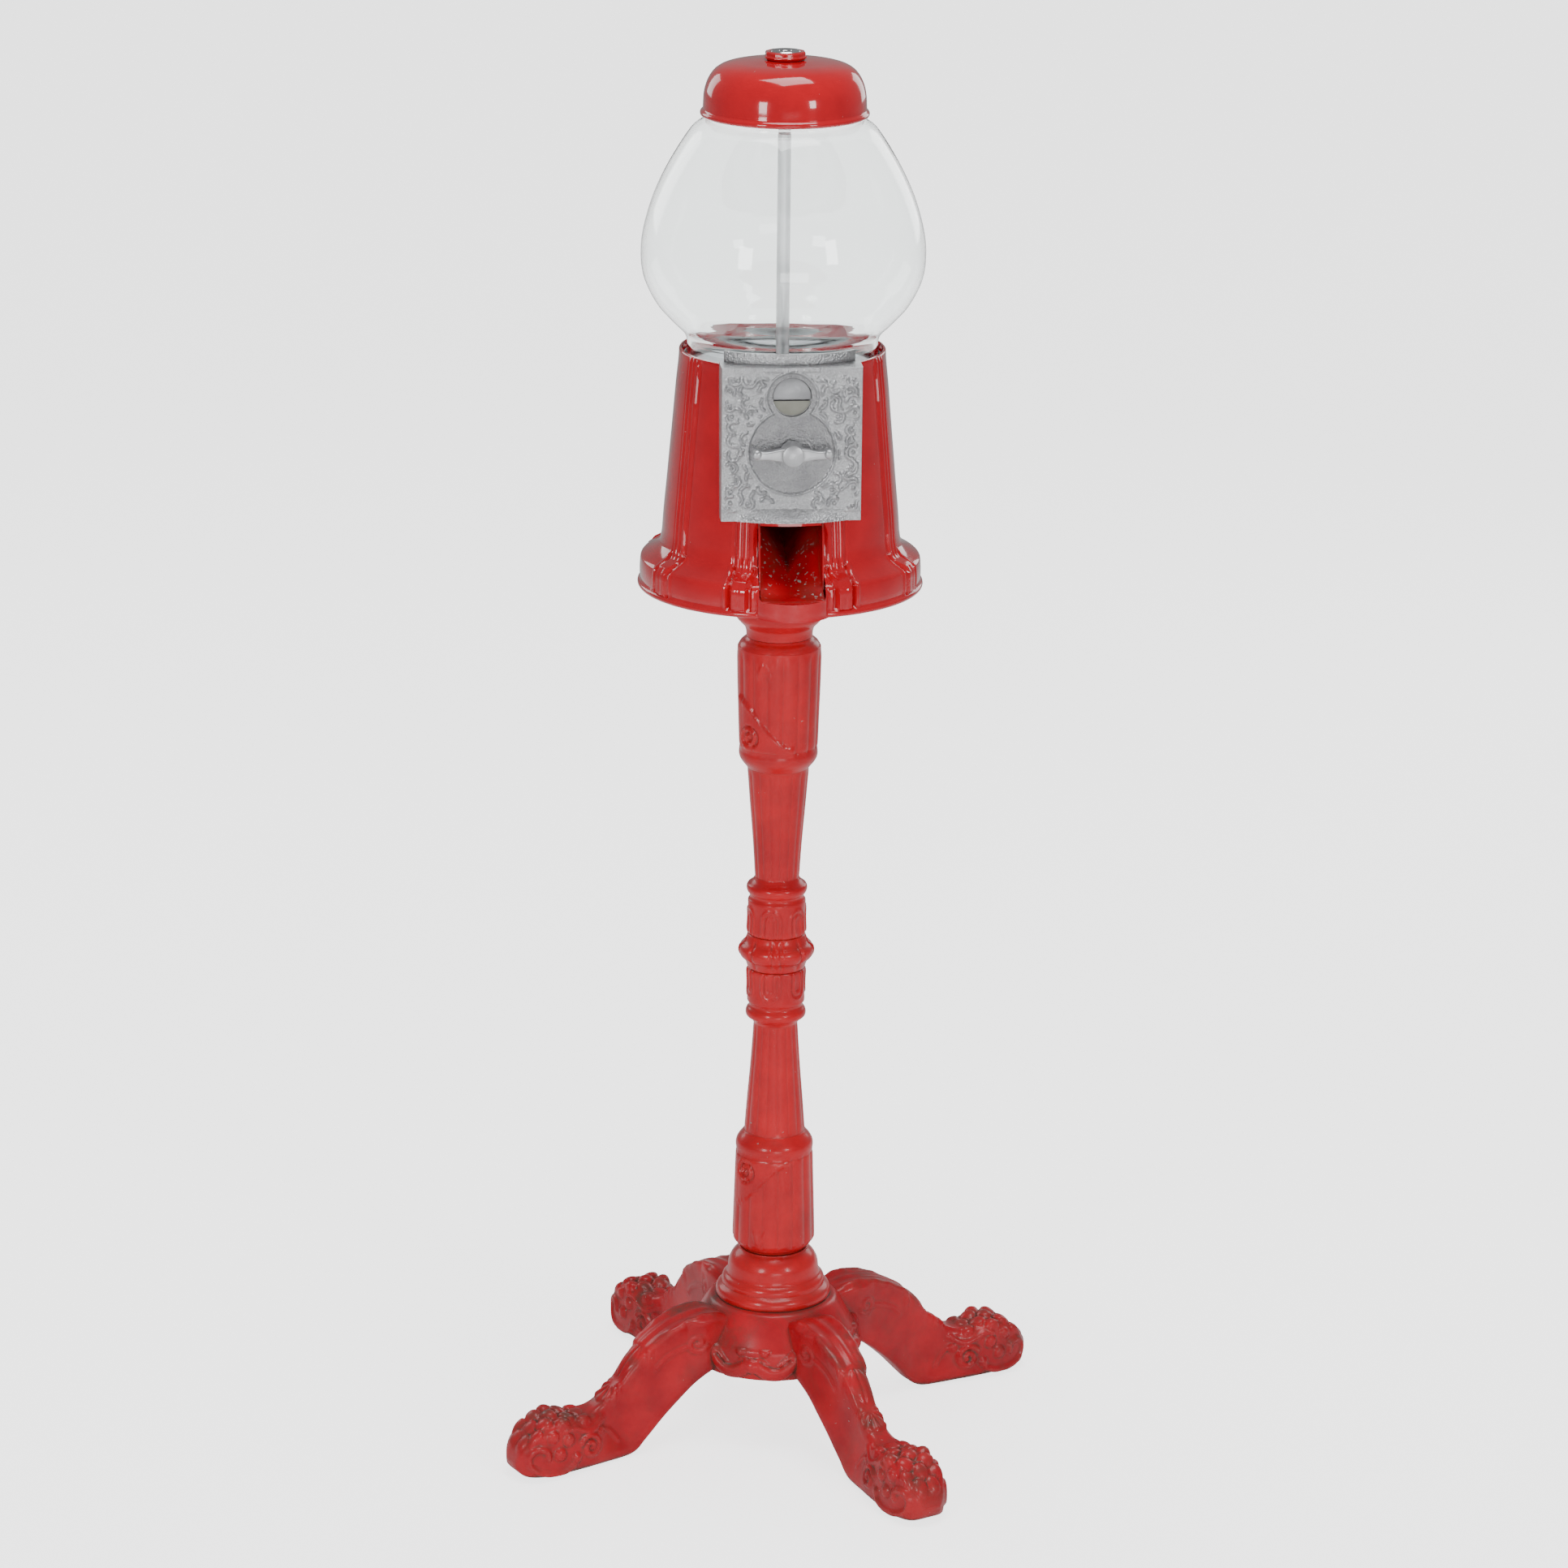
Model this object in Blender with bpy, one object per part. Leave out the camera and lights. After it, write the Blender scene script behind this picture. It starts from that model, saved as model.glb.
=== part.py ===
"""Coin vendor with a glass globe on a cast pedestal stand, built from its separate pieces.

Frame: +Z up, the origin on the floor under the column's axis, the coin plate facing -Y.
Outlines are written in millimetres and scaled to metres as each mesh is made.
"""

import math

import bmesh
import bpy
from mathutils import Matrix, Vector

MM = 0.001
GAP = 0.3

# Stand
LEG_ANGLES = [26.2 + 90.0 * k for k in range(4)]
HUB_TOP = 93.0
BELL_TOP = 127.7
COLUMN_MIDDLE = 342.0
KNUCKLE_HALF = 12.0
LOWER_LENGTH = 213.7
UPPER_LENGTH = 219.3
CUP_TOP = 596.0
COLUMN_BORE = 8.0
TIE_ROD_RADIUS = 5.0
TIE_ROD_BORE = 5.6
TIE_ROD_ENDS = (69.0, 610.0)

# Machine body
BODY_BOTTOM = 596.4
BODY_TOP = 756.0
LEDGE_TOP = 745.0
RIM_BORE = 65.6
WEB_TOP = 603.0
RIB_ANGLES = (-22.0, 22.0, -62.0, 62.0, -120.0, 120.0, 180.0)
RIB_HEIGHT = 1.4
CHUTE_HALF_WIDTH = 21.5
CHUTE_SILL = 609.0
CHUTE_HEAD = 654.3
MECHANISM_HALF_WIDTH = 40.3
MECHANISM_SILL = 660.0

# Coin plate and drive
PLATE_FACE = -74.0
PLATE_HALF_WIDTH = 45.0
PLATE_BOTTOM = 656.0
PLATE_TOP = 758.0
AXLE_HEIGHT = 703.0
WINDOW_HEIGHT = 738.6
WINDOW_RADIUS = 12.75
SCREW_OFFSET = 35.5
COIN_WHEEL_RADIUS = 39.5
AXLE_RADIUS = 4.0
AXLE_BORE = 4.3
PINION_TEETH = 6
CROWN_TEETH = 36
CROWN_PITCH = 38.4
PINION_PITCH = CROWN_PITCH * PINION_TEETH / CROWN_TEETH
TOOTH_DEPTH = 1.5
PAWL_PIVOT = (-20.0, -70.0, 664.5)

# Hopper, globe and lid
ROD_RADIUS = 4.35
ROD_BORE = 4.75
WHEEL_RADIUS = 42.4
WHEEL_BOTTOM = 712.4
WHEEL_TOP = 732.0
POCKETS = 6
POCKET_RADIUS = 9.5
POCKET_CENTRE = 23.0
STRAP_TOP = 705.2
GLASS = 2.6
NECK_RADIUS = 62.4
NECK_BOTTOM = 747.6
LOCK_TOP = 950.0

RED = (0.58, 0.012, 0.016, 1.0)
STAND_RED = (0.42, 0.025, 0.022, 1.0)
SILVER = (0.50, 0.50, 0.52, 1.0)
STEEL = (0.42, 0.43, 0.44, 1.0)
BRASS = (0.60, 0.42, 0.16, 1.0)
CLEAR = (0.85, 0.92, 0.90, 0.3)


def clear_scene():
    for item in list(bpy.data.objects):
        bpy.data.objects.remove(item, do_unlink=True)


def surface(name, colour, roughness, metallic=0.0):
    material = bpy.data.materials.new(name)
    material.use_nodes = True
    shader = material.node_tree.nodes["Principled BSDF"]
    shader.inputs["Base Color"].default_value = colour
    shader.inputs["Alpha"].default_value = colour[3]
    shader.inputs["Roughness"].default_value = roughness
    shader.inputs["Metallic"].default_value = metallic
    return material


def polar(radius, degrees, height=0.0):
    angle = math.radians(degrees)
    return (radius * math.cos(angle), radius * math.sin(angle), height)


def arc(centre, radius, start, end, steps):
    """Points on an arc in an outline's own plane, angles in degrees."""
    points = []
    for step in range(steps + 1):
        x, y, _ = polar(radius, start + (end - start) * step / steps)
        points.append((centre[0] + x, centre[1] + y))
    return points


def smooth(points, steps=2):
    """A curve through the points, with extra points between each pair of them."""
    curve = []
    last = len(points) - 1
    for index in range(last):
        before = Vector(points[max(index - 1, 0)])
        start = Vector(points[index])
        end = Vector(points[index + 1])
        after = Vector(points[min(index + 2, last)])
        for step in range(steps):
            t = step / steps
            curve.append(tuple(0.5 * (
                2 * start + (end - before) * t
                + (2 * before - 5 * start + 4 * end - after) * t * t
                + (3 * start - before - 3 * end + after) * t * t * t
            )))
    curve.append(tuple(points[last]))
    return curve


def offset(outline, distance):
    """The open outline moved sideways by a distance, to the left of its direction."""
    moved = []
    last = len(outline) - 1
    for index, point in enumerate(outline):
        along = Vector(outline[min(index + 1, last)]) - Vector(outline[max(index - 1, 0)])
        along.normalize()
        moved.append((point[0] - along.y * distance, point[1] + along.x * distance))
    return moved


def tidy(shape):
    bmesh.ops.remove_doubles(shape, verts=shape.verts, dist=1e-4)
    bmesh.ops.recalc_face_normals(shape, faces=shape.faces)
    return shape


def turned(outline, segments=28):
    """Spin a closed outline of (radius, height) points about the vertical axis."""
    shape = bmesh.new()
    points = [shape.verts.new((radius, 0.0, height)) for radius, height in outline]
    edges = [shape.edges.new(pair) for pair in zip(points, points[1:] + points[:1])]
    bmesh.ops.spin(shape, geom=points + edges, cent=(0, 0, 0), axis=(0, 0, 1),
                   angle=math.tau, steps=segments, use_merge=True)
    return tidy(shape)


def prism(outline, low, high, axis="Z"):
    """Extrude a closed outline along an axis: XY points on Z, XZ points on Y, YZ points on X."""
    place = {
        "Z": lambda a, b, c: (a, b, c),
        "Y": lambda a, b, c: (a, c, b),
        "X": lambda a, b, c: (c, a, b),
    }[axis]
    shape = bmesh.new()
    face = shape.faces.new([shape.verts.new(place(a, b, low)) for a, b in outline])
    raised = bmesh.ops.extrude_face_region(shape, geom=[face])
    moved = [item for item in raised["geom"] if isinstance(item, bmesh.types.BMVert)]
    bmesh.ops.translate(shape, verts=moved, vec=place(0.0, 0.0, high - low))
    return tidy(shape)


def block(low, high):
    outline = [(low[0], low[1]), (high[0], low[1]), (high[0], high[1]), (low[0], high[1])]
    return prism(outline, low[2], high[2])


def circle(centre, radius, count=16, turn=0.0):
    return arc(centre, radius, turn, turn + 360.0 * (count - 1) / count, count - 1)


def disc(centre, radius, low, high, axis="Z", count=16, turn=0.0):
    return prism(circle(centre, radius, count, turn), low, high, axis)


def ring(centre, outer, inner, low, high, count=16, turn=0.0):
    """A washer-shaped piece along Y, centred on an (x, z) point."""
    shape = turned([(outer, low), (outer, high), (inner, high), (inner, low)], count)
    bmesh.ops.rotate(shape, verts=shape.verts, cent=(0, 0, 0),
                     matrix=Matrix.Rotation(math.radians(turn), 3, "Z"))
    bmesh.ops.rotate(shape, verts=shape.verts, cent=(0, 0, 0),
                     matrix=Matrix.Rotation(math.radians(-90.0), 3, "X"))
    bmesh.ops.translate(shape, verts=shape.verts, vec=(centre[0], 0.0, centre[1]))
    return shape


def merged(*shapes):
    """One mesh holding several separate closed shapes."""
    whole = bmesh.new()
    for shape in shapes:
        scratch = bpy.data.meshes.new("scratch")
        shape.to_mesh(scratch)
        whole.from_mesh(scratch)
        bpy.data.meshes.remove(scratch)
        shape.free()
    return whole


def spread(shape, angles):
    """Copies of a shape turned about the vertical axis, the first at the shape's own place."""
    copies = []
    for angle in angles:
        copy = shape.copy()
        bmesh.ops.rotate(copy, verts=copy.verts, cent=(0, 0, 0),
                         matrix=Matrix.Rotation(math.radians(angle), 3, "Z"))
        copies.append(copy)
    shape.free()
    return merged(*copies)


def add_object(name, shape, material, origin=(0.0, 0.0, 0.0)):
    """Make the object with its origin at a point given in millimetres."""
    origin = Vector(origin)
    bmesh.ops.translate(shape, verts=shape.verts, vec=-origin)
    bmesh.ops.scale(shape, verts=shape.verts, vec=(MM, MM, MM))
    mesh = bpy.data.meshes.new(name)
    shape.to_mesh(mesh)
    shape.free()
    mesh.shade_smooth()
    mesh.set_sharp_from_angle(angle=math.radians(35.0))
    if material:
        mesh.materials.append(material)
    item = bpy.data.objects.new(name, mesh)
    item.location = origin * MM
    bpy.context.scene.collection.objects.link(item)
    return item


def combine(item, operation, shape):
    """Join or cut an object with a shape, kept as a hidden wire helper."""
    helper = add_object(f"{item.name}_{operation.lower()}_{len(item.modifiers)}", shape, None)
    helper.hide_render = True
    helper.display_type = "WIRE"
    step = item.modifiers.new(operation.title(), "BOOLEAN")
    step.operation = operation
    step.solver = "EXACT"
    step.object = helper


def hexagon_nut(name, material, across_flats, bore, low, high):
    nut = add_object(name, disc((0, 0), across_flats / math.sqrt(3.0), low, high, count=6), material)
    combine(nut, "DIFFERENCE", disc((0, 0), bore, low - 1, high + 1))


# ---------------------------------------------------------------- stand

def leg_section(top, bottom, half_width):
    """Six points round one cross-section of a leg, in the plane of its radius."""
    shares = ((0.0, 0.85), (0.6, 1.0), (1.0, 0.65))
    side = []
    for share, width in shares:
        radius = bottom[0] + (top[0] - bottom[0]) * share
        height = bottom[1] + (top[1] - bottom[1]) * share
        side.append((radius, half_width * width, height))
    mirrored = [(radius, -across, height) for radius, across, height in reversed(side)]
    return side + mirrored


def leg():
    """A cabriole leg with a broad paw, running out along +X."""
    stations = (
        ((34, 90), (34, 58), 17), ((58, 91.5), (52, 52), 17), ((78, 88.5), (68, 44), 16.5),
        ((94, 82), (82, 33), 16), ((106, 74), (93, 23), 15), ((116, 64), (101, 14.5), 14),
        ((124, 54), (107, 8), 13), ((134, 44.5), (113, 2.5), 13), ((147, 38), (122, 0), 14),
        ((160, 38.5), (145, 0), 17), ((172, 41.5), (165, 0), 19), ((184, 39), (182, 0), 19),
        ((195, 31), (193, 0), 17), ((203, 21.5), (200, 1.5), 13), ((206.5, 12), (205.5, 6), 8),
    )
    shape = bmesh.new()
    loops = []
    for station in stations:
        loops.append([shape.verts.new(point) for point in leg_section(*station)])
    for near, far in zip(loops, loops[1:]):
        for index in range(len(near)):
            following = (index + 1) % len(near)
            shape.faces.new((near[index], near[following], far[following], far[index]))
    shape.faces.new(loops[0])
    shape.faces.new(loops[-1])
    return tidy(shape)


def make_leg_casting(material):
    """The hub with its flared apron and the four legs, one iron casting."""
    hub = turned([
        (TIE_ROD_BORE, HUB_TOP), (40, HUB_TOP), (44, 91), (50, 82), (55, 73), (57, 69),
        (58, 60), (57, 50.5), (53, 50.5), (52, 66), (44, 79), (38, 85), (TIE_ROD_BORE, 85),
    ], 32)
    item = add_object("leg_casting", hub, material)
    combine(item, "UNION", spread(leg(), LEG_ANGLES))


def column_half(length):
    """Outline of a half column as (distance from the middle, radius)."""
    collar = [(12.3, 18.2), (13.3, 19.4), (24, 19), (35, 19.4), (37.5, 18.3), (40, 18.3)]
    bead = [(42, 19.8), (44.5, 20.4), (47, 19.6), (49.5, 16.4)]
    shaft = [(54, 14.9), (80, 16.5), (105, 18.6), (127, 20.3)]
    shoulder = [(131, 21.6), (135, 24.6), (139.5, 26.4), (143, 26.0), (170, 26.6)]
    end = [(length - 9, 27.8), (length - 5, 26.5), (length - 1.5, 23), (length, 22)]
    return collar + bead + shaft + shoulder + end


def make_column(name, direction, length, material):
    outline = []
    for distance, radius in column_half(length):
        outline.append((radius, COLUMN_MIDDLE + direction * distance))
    start = (COLUMN_BORE, outline[0][1])
    end = (COLUMN_BORE, outline[-1][1])
    add_object(name, turned([start] + outline + [end], 20), material)


def make_stand(paint, steel):
    make_leg_casting(paint)
    bell = [
        (TIE_ROD_BORE, HUB_TOP + GAP), (38.9, HUB_TOP + GAP), (39.2, 97), (37.4, 101),
        (35.2, 102), (34.4, 106), (32.6, 109.5), (31, 111), (30.4, 117), (29, 121.5),
        (26, 125), (23.4, BELL_TOP), (TIE_ROD_BORE, BELL_TOP),
    ]
    add_object("base_bell", turned(bell, 20), paint)
    make_column("lower_column", -1, LOWER_LENGTH, paint)
    make_column("upper_column", 1, UPPER_LENGTH, paint)
    knuckle = arc((19.5, COLUMN_MIDDLE), 5.8, -90, 90, 4)
    low = COLUMN_MIDDLE - KNUCKLE_HALF
    high = COLUMN_MIDDLE + KNUCKLE_HALF
    knuckle = [(COLUMN_BORE, low), (19.0, low), (20.5, low + 4)] + knuckle
    knuckle += [(20.5, high - 4), (19.0, high), (COLUMN_BORE, high)]
    add_object("centre_knuckle", turned(knuckle, 24), paint)
    bottom = COLUMN_MIDDLE + UPPER_LENGTH + GAP
    cup = [
        (TIE_ROD_BORE, bottom), (22, bottom), (22.3, 566), (23.6, 570), (27, 573.5),
        (29, 577), (29.3, 588), (31, 591), (33, 592.5), (33, CUP_TOP), (TIE_ROD_BORE, CUP_TOP),
    ]
    add_object("top_cup", turned(cup, 24), paint)
    rod = disc((0, 0), TIE_ROD_RADIUS, *TIE_ROD_ENDS)
    add_object("tie_rod", rod, steel)
    for name, low, nut_low in (("lower", 83.0, 74.0), ("upper", 599.0, 601.0)):
        washer = [(13, low), (13, low + 1.7), (TIE_ROD_BORE, low + 1.7), (TIE_ROD_BORE, low)]
        add_object(f"tie_rod_washer_{name}", turned(washer, 16), steel)
        hexagon_nut(f"tie_rod_nut_{name}", steel, 17.0, TIE_ROD_BORE, nut_low, nut_low + 8.5)


# ---------------------------------------------------------------- machine body

BODY_OUTSIDE = (
    (67.5, BODY_TOP), (67.8, 750), (69.6, 732), (72.3, 700), (75.2, 668), (77.5, 646),
    (78.6, 631), (80.2, 627.5), (84, 623.5), (89.4, 618), (92.2, 613), (93, 607),
    (93.2, 602.5), (94.1, 601.3), (94.1, 597.6), (93.2, BODY_BOTTOM),
)
BODY_INSIDE = (
    (85.2, BODY_BOTTOM), (85.2, 599), (62, 599), (62, WEB_TOP), (87, WEB_TOP),
    (86.5, 611), (74.8, 628), (64.6, 740), (60, 741.5),
    (60, LEDGE_TOP), (RIM_BORE, LEDGE_TOP), (RIM_BORE, BODY_TOP),
)


def body_angles():
    """Angles round the body from the front, with the edges of each rib strip among them."""
    angles = []
    centres = sorted(RIB_ANGLES)
    for centre, following in zip(centres, centres[1:] + [centres[0] + 360.0]):
        angles += [centre - 6.0, centre - 4.5, centre + 4.5, centre + 6.0]
        steps = max(1, round((following - centre - 12.0) / 12.0))
        for step in range(1, steps):
            angles.append(centre + 6.0 + (following - centre - 12.0) * step / steps)
    return angles


def rib_height(angle):
    for centre in RIB_ANGLES:
        away = abs((angle - centre + 180.0) % 360.0 - 180.0)
        if away < 5.0:
            return RIB_HEIGHT
    return 0.0


def body_shell():
    """The bell-shaped housing, with a raised strip at each cluster of flutes."""
    shape = bmesh.new()
    columns = []
    for angle in body_angles():
        raise_by = rib_height(angle)
        column = []
        for index, (radius, height) in enumerate(BODY_OUTSIDE):
            inner_run = 0 < index < len(BODY_OUTSIDE) - 3
            reach = radius + (raise_by if inner_run else 0.0)
            column.append(shape.verts.new(polar(reach, angle - 90.0, height)))
        for radius, height in BODY_INSIDE:
            column.append(shape.verts.new(polar(radius, angle - 90.0, height)))
        columns.append(column)
    for near, far in zip(columns, columns[1:] + columns[:1]):
        for index in range(len(near)):
            following = (index + 1) % len(near)
            shape.faces.new((near[index], near[following], far[following], far[index]))
    return tidy(shape)


def make_body(paint):
    item = add_object("body", body_shell(), paint)
    lugs = [block((58, -9, 690), (70.3, 9, 700.9)), block((-70.3, -9, 690), (-58, 9, 700.9))]
    lip = [(-CHUTE_HALF_WIDTH, -86)] + arc((0, -70), 33, -130.7, -49.3, 8) + [(CHUTE_HALF_WIDTH, -86)]
    combine(item, "UNION", merged(*lugs, prism(lip, BODY_BOTTOM, CHUTE_SILL)))
    mechanism = block((-MECHANISM_HALF_WIDTH, -110, MECHANISM_SILL), (MECHANISM_HALF_WIDTH, -45, 770))
    chute = block((-CHUTE_HALF_WIDTH, -120, CHUTE_SILL), (CHUTE_HALF_WIDTH, -60, CHUTE_HEAD))
    lug_holes = [disc((x, 0), 2.3, 685, 705, count=8) for x in (-62, 62)]
    web_hole = disc((73, 0), 2.3, 590, 610, count=8)
    web_holes = spread(web_hole, [45.0 + 90.0 * k for k in range(4)])
    combine(item, "DIFFERENCE", merged(mechanism, chute, *lug_holes, web_holes))


def make_base_plate(steel):
    plate = turned([(84.4, 596.4), (84.4, 598.7), (TIE_ROD_BORE, 598.7), (TIE_ROD_BORE, 596.4)], 28)
    item = add_object("base_plate", plate, steel)
    hole = disc((73, 0), 2.3, 590, 610, count=8)
    combine(item, "DIFFERENCE", spread(hole, [45.0 + 90.0 * k for k in range(4)]))
    for number in range(4):
        screw = turned([(0, 593.9), (4, 593.9), (4, 596.1), (2, 596.1), (2, 602.6), (0, 602.6)], 8)
        x, y, _ = polar(73, 45.0 + 90.0 * number)
        bmesh.ops.translate(screw, verts=screw.verts, vec=(x, y, 0))
        add_object(f"base_screw_{number + 1}", screw, steel)


def make_chute(paint):
    """A sloping trough from under the drop hole to the front opening."""
    front, back, half, wall = -90.0, 41.0, 20.6, 1.6
    slope = 0.5
    start = 611.6

    def floor(y):
        return start + (y - front) * slope

    outside = [(front, start), (back, floor(back)), (back, 703), (14, 703), (10, 690),
               (-79, 650), (front, 626)]
    inside = [(front - 5, floor(front - 5) + wall), (back - wall, floor(back - wall) + wall),
              (back - wall, 710), (front - 5, 710)]
    item = add_object("chute", prism(outside, -half, half, "X"), paint)
    combine(item, "DIFFERENCE", prism(inside, wall - half, half - wall, "X"))


# ---------------------------------------------------------------- coin plate and drive

def visor():
    """The curved hood along the plate's lower edge."""
    count = 10
    shape = bmesh.new()
    low = []
    high = []
    for step in range(count + 1):
        x = PLATE_HALF_WIDTH * (2.0 * step / count - 1.0)
        bulge = max(0.0, math.sqrt(82.5 ** 2 - x * x) + PLATE_FACE)
        low.append((x, PLATE_FACE - bulge - 0.3, 652.6))
        high.append((x, PLATE_FACE - 0.25 * bulge, 666.0))
    rows = [low, high]
    rows += [[(x, PLATE_FACE + 1.5, z) for x, _, z in row] for row in (high, low)]
    grid = [[shape.verts.new(point) for point in row] for row in rows]
    for near, far in zip(grid, grid[1:] + grid[:1]):
        for index in range(count):
            shape.faces.new((near[index], near[index + 1], far[index + 1], far[index]))
    shape.faces.new([row[0] for row in grid])
    shape.faces.new([row[-1] for row in grid])
    return tidy(shape)


def make_front_plate(metal):
    """The coin plate: a shallow box casting whose back follows the body."""
    outer = block((-PLATE_HALF_WIDTH, PLATE_FACE, PLATE_BOTTOM), (PLATE_HALF_WIDTH, -46, PLATE_TOP))
    item = add_object("front_plate", outer, metal)
    hollow = block((-41.3, -71.4, 660.8), (41.3, -40, 756.3))
    combine(item, "DIFFERENCE", hollow)
    half = math.degrees(math.asin(42.5 / 67.0))
    upright = arc((0, 0), 67.2, -90 - half, -90 + half, 12) + arc((0, 0), 65.4, -90 + half, -90 - half, 12)
    bosses = []
    for x in (-SCREW_OFFSET, SCREW_OFFSET):
        for z in (AXLE_HEIGHT - SCREW_OFFSET, AXLE_HEIGHT + SCREW_OFFSET):
            bosses.append(disc((x, z), 3.8, -72.0, -69.0, "Y", 10))
    combine(item, "UNION", merged(prism(upright, 757, 765), *bosses))
    combine(item, "UNION", visor())
    spread_angle = math.degrees(math.acos((28.0 - 16.5) / (WINDOW_HEIGHT - AXLE_HEIGHT)))
    pear = arc((0, WINDOW_HEIGHT), 15.9, 90 - spread_angle, 90 + spread_angle, 8)
    pear += arc((0, AXLE_HEIGHT), 28.0, 90 + spread_angle, 450 - spread_angle, 18)
    combine(item, "UNION", prism(pear, PLATE_FACE - 0.8, -73.0, "Y"))
    envelope = [(radius + GAP, height) for radius, height in BODY_OUTSIDE[1:7]]
    envelope = [(67.5 + GAP, BODY_TOP + GAP)] + envelope + [(20, 631), (20, BODY_TOP + GAP)]
    combine(item, "DIFFERENCE", turned(envelope, 64))
    clear_ribs = [(radius + RIB_HEIGHT, height) for radius, height in envelope[4:7]]
    combine(item, "DIFFERENCE", turned([(78.4, 662)] + clear_ribs[-2:] + [(20, 631), (20, 662)], 64))
    rear = disc((0, 0), 65.3, 740, 780, count=48)
    combine(item, "DIFFERENCE", rear)
    holes = [
        disc((0, AXLE_HEIGHT), 4.6, -80, -65, "Y"),
        disc((0, WINDOW_HEIGHT), WINDOW_RADIUS, -80, -65, "Y", 24),
    ]
    for x in (-SCREW_OFFSET, SCREW_OFFSET):
        for z in (AXLE_HEIGHT - SCREW_OFFSET, AXLE_HEIGHT + SCREW_OFFSET):
            holes.append(disc((x, z), 1.9, -72.8, -60, "Y", 8))
    combine(item, "DIFFERENCE", merged(*holes))


def make_mechanism_frame(steel, brass):
    """The plate behind the coin wheel, its bearing, its screws and the bar that clamps it."""
    plate = block((-39.8, -68.7, 663), (39.8, -67.2, 741.5))
    item = add_object("mechanism_plate", plate, steel)
    holes = [disc((0, AXLE_HEIGHT), AXLE_BORE, -75, -60, "Y")]
    corner = 0
    for x in (-SCREW_OFFSET, SCREW_OFFSET):
        for z in (AXLE_HEIGHT - SCREW_OFFSET, AXLE_HEIGHT + SCREW_OFFSET):
            holes.append(disc((x, z), 1.9, -75, -60, "Y", 8))
            corner += 1
            screw = turned([(0, 66.9), (3.2, 66.9), (3.2, 64.9), (0, 64.9)], 8)
            shank = turned([(0, 72.5), (1.6, 72.5), (1.6, 66), (0, 66)], 8)
            for piece in (screw, shank):
                bmesh.ops.rotate(piece, verts=piece.verts, cent=(0, 0, 0),
                                 matrix=Matrix.Rotation(math.radians(90.0), 3, "X"))
                bmesh.ops.translate(piece, verts=piece.verts, vec=(x, 0, z))
            head = add_object(f"mechanism_screw_{corner}", screw, steel)
            combine(head, "UNION", shank)
    for x in (-15, 15):
        holes.append(disc((x, 676), 2.3, -75, -60, "Y", 8))
    combine(item, "DIFFERENCE", merged(*holes))
    add_object("axle_bush", ring((0, AXLE_HEIGHT), 7.5, AXLE_BORE, -66.9, -56), brass)
    bar = block((-50.5, -46, 671), (50.5, -43.5, 681))
    bar_item = add_object("clamp_bar", bar, steel)
    bar_holes = [disc((x, 676), 2.3, -50, -40, "Y", 8) for x in (-15, 15)]
    combine(bar_item, "DIFFERENCE", merged(*bar_holes))
    for number, x in enumerate((-15, 15)):
        bolt = turned([(0, 68.9), (2, 68.9), (2, 43.2), (4, 43.2), (4, 40.6), (0, 40.6)], 8)
        bmesh.ops.rotate(bolt, verts=bolt.verts, cent=(0, 0, 0),
                         matrix=Matrix.Rotation(math.radians(90.0), 3, "X"))
        bmesh.ops.translate(bolt, verts=bolt.verts, vec=(x, 0, 676))
        add_object(f"clamp_bolt_{number + 1}", bolt, steel)


def make_coin_wheel(steel):
    origin = (0, -70, AXLE_HEIGHT)
    outline = circle((0, AXLE_HEIGHT), COIN_WHEEL_RADIUS, 32)
    item = add_object("coin_wheel", prism(outline, -71.1, -69.1, "Y"), steel, origin)
    notch = disc((0, WINDOW_HEIGHT), 12.4, -75, -65, "Y", 24)
    bore = disc((0, AXLE_HEIGHT), AXLE_BORE, -75, -65, "Y")
    combine(item, "DIFFERENCE", merged(notch, bore))


def make_handle(metal):
    """A hub with two tapered wings that end in small knobs."""
    front, back = -88.0, -75.2
    item = add_object("handle", disc((0, AXLE_HEIGHT), 6.6, front, back, "Y", 20), metal,
                      (0, back, AXLE_HEIGHT))
    wing = [(0, 5.6), (8, 4.4), (16, 2.6), (19.5, 2.8)]
    knob = arc((22.3, 0.6), 4.0, 120, -100, 8)
    below = [(18, -3.2), (9, -4.4), (0, -5.6)]
    right = [(x, AXLE_HEIGHT + z) for x, z in wing + knob + below]
    left = [(-x, z) for x, z in reversed(right)]
    combine(item, "UNION", prism(right[:-1] + left[:-1], -86.0, -78.5, "Y"))
    combine(item, "DIFFERENCE", disc((0, AXLE_HEIGHT), AXLE_BORE, -84.0, -70, "Y"))


def make_axle(steel):
    origin = (0, -60, AXLE_HEIGHT)
    steps = [(0, 83.7), (AXLE_RADIUS, 83.7), (AXLE_RADIUS, 44), (3, 44), (3, 36.4), (0, 36.4)]
    shape = turned(steps, 16)
    bmesh.ops.rotate(shape, verts=shape.verts, cent=(0, 0, 0),
                     matrix=Matrix.Rotation(math.radians(90.0), 3, "X"))
    bmesh.ops.translate(shape, verts=shape.verts, vec=(0, 0, AXLE_HEIGHT))
    add_object("axle", shape, steel, origin)
    add_object("axle_collar", ring((0, AXLE_HEIGHT), 7.5, AXLE_BORE, -55.7, -50.5), steel, origin)


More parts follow.
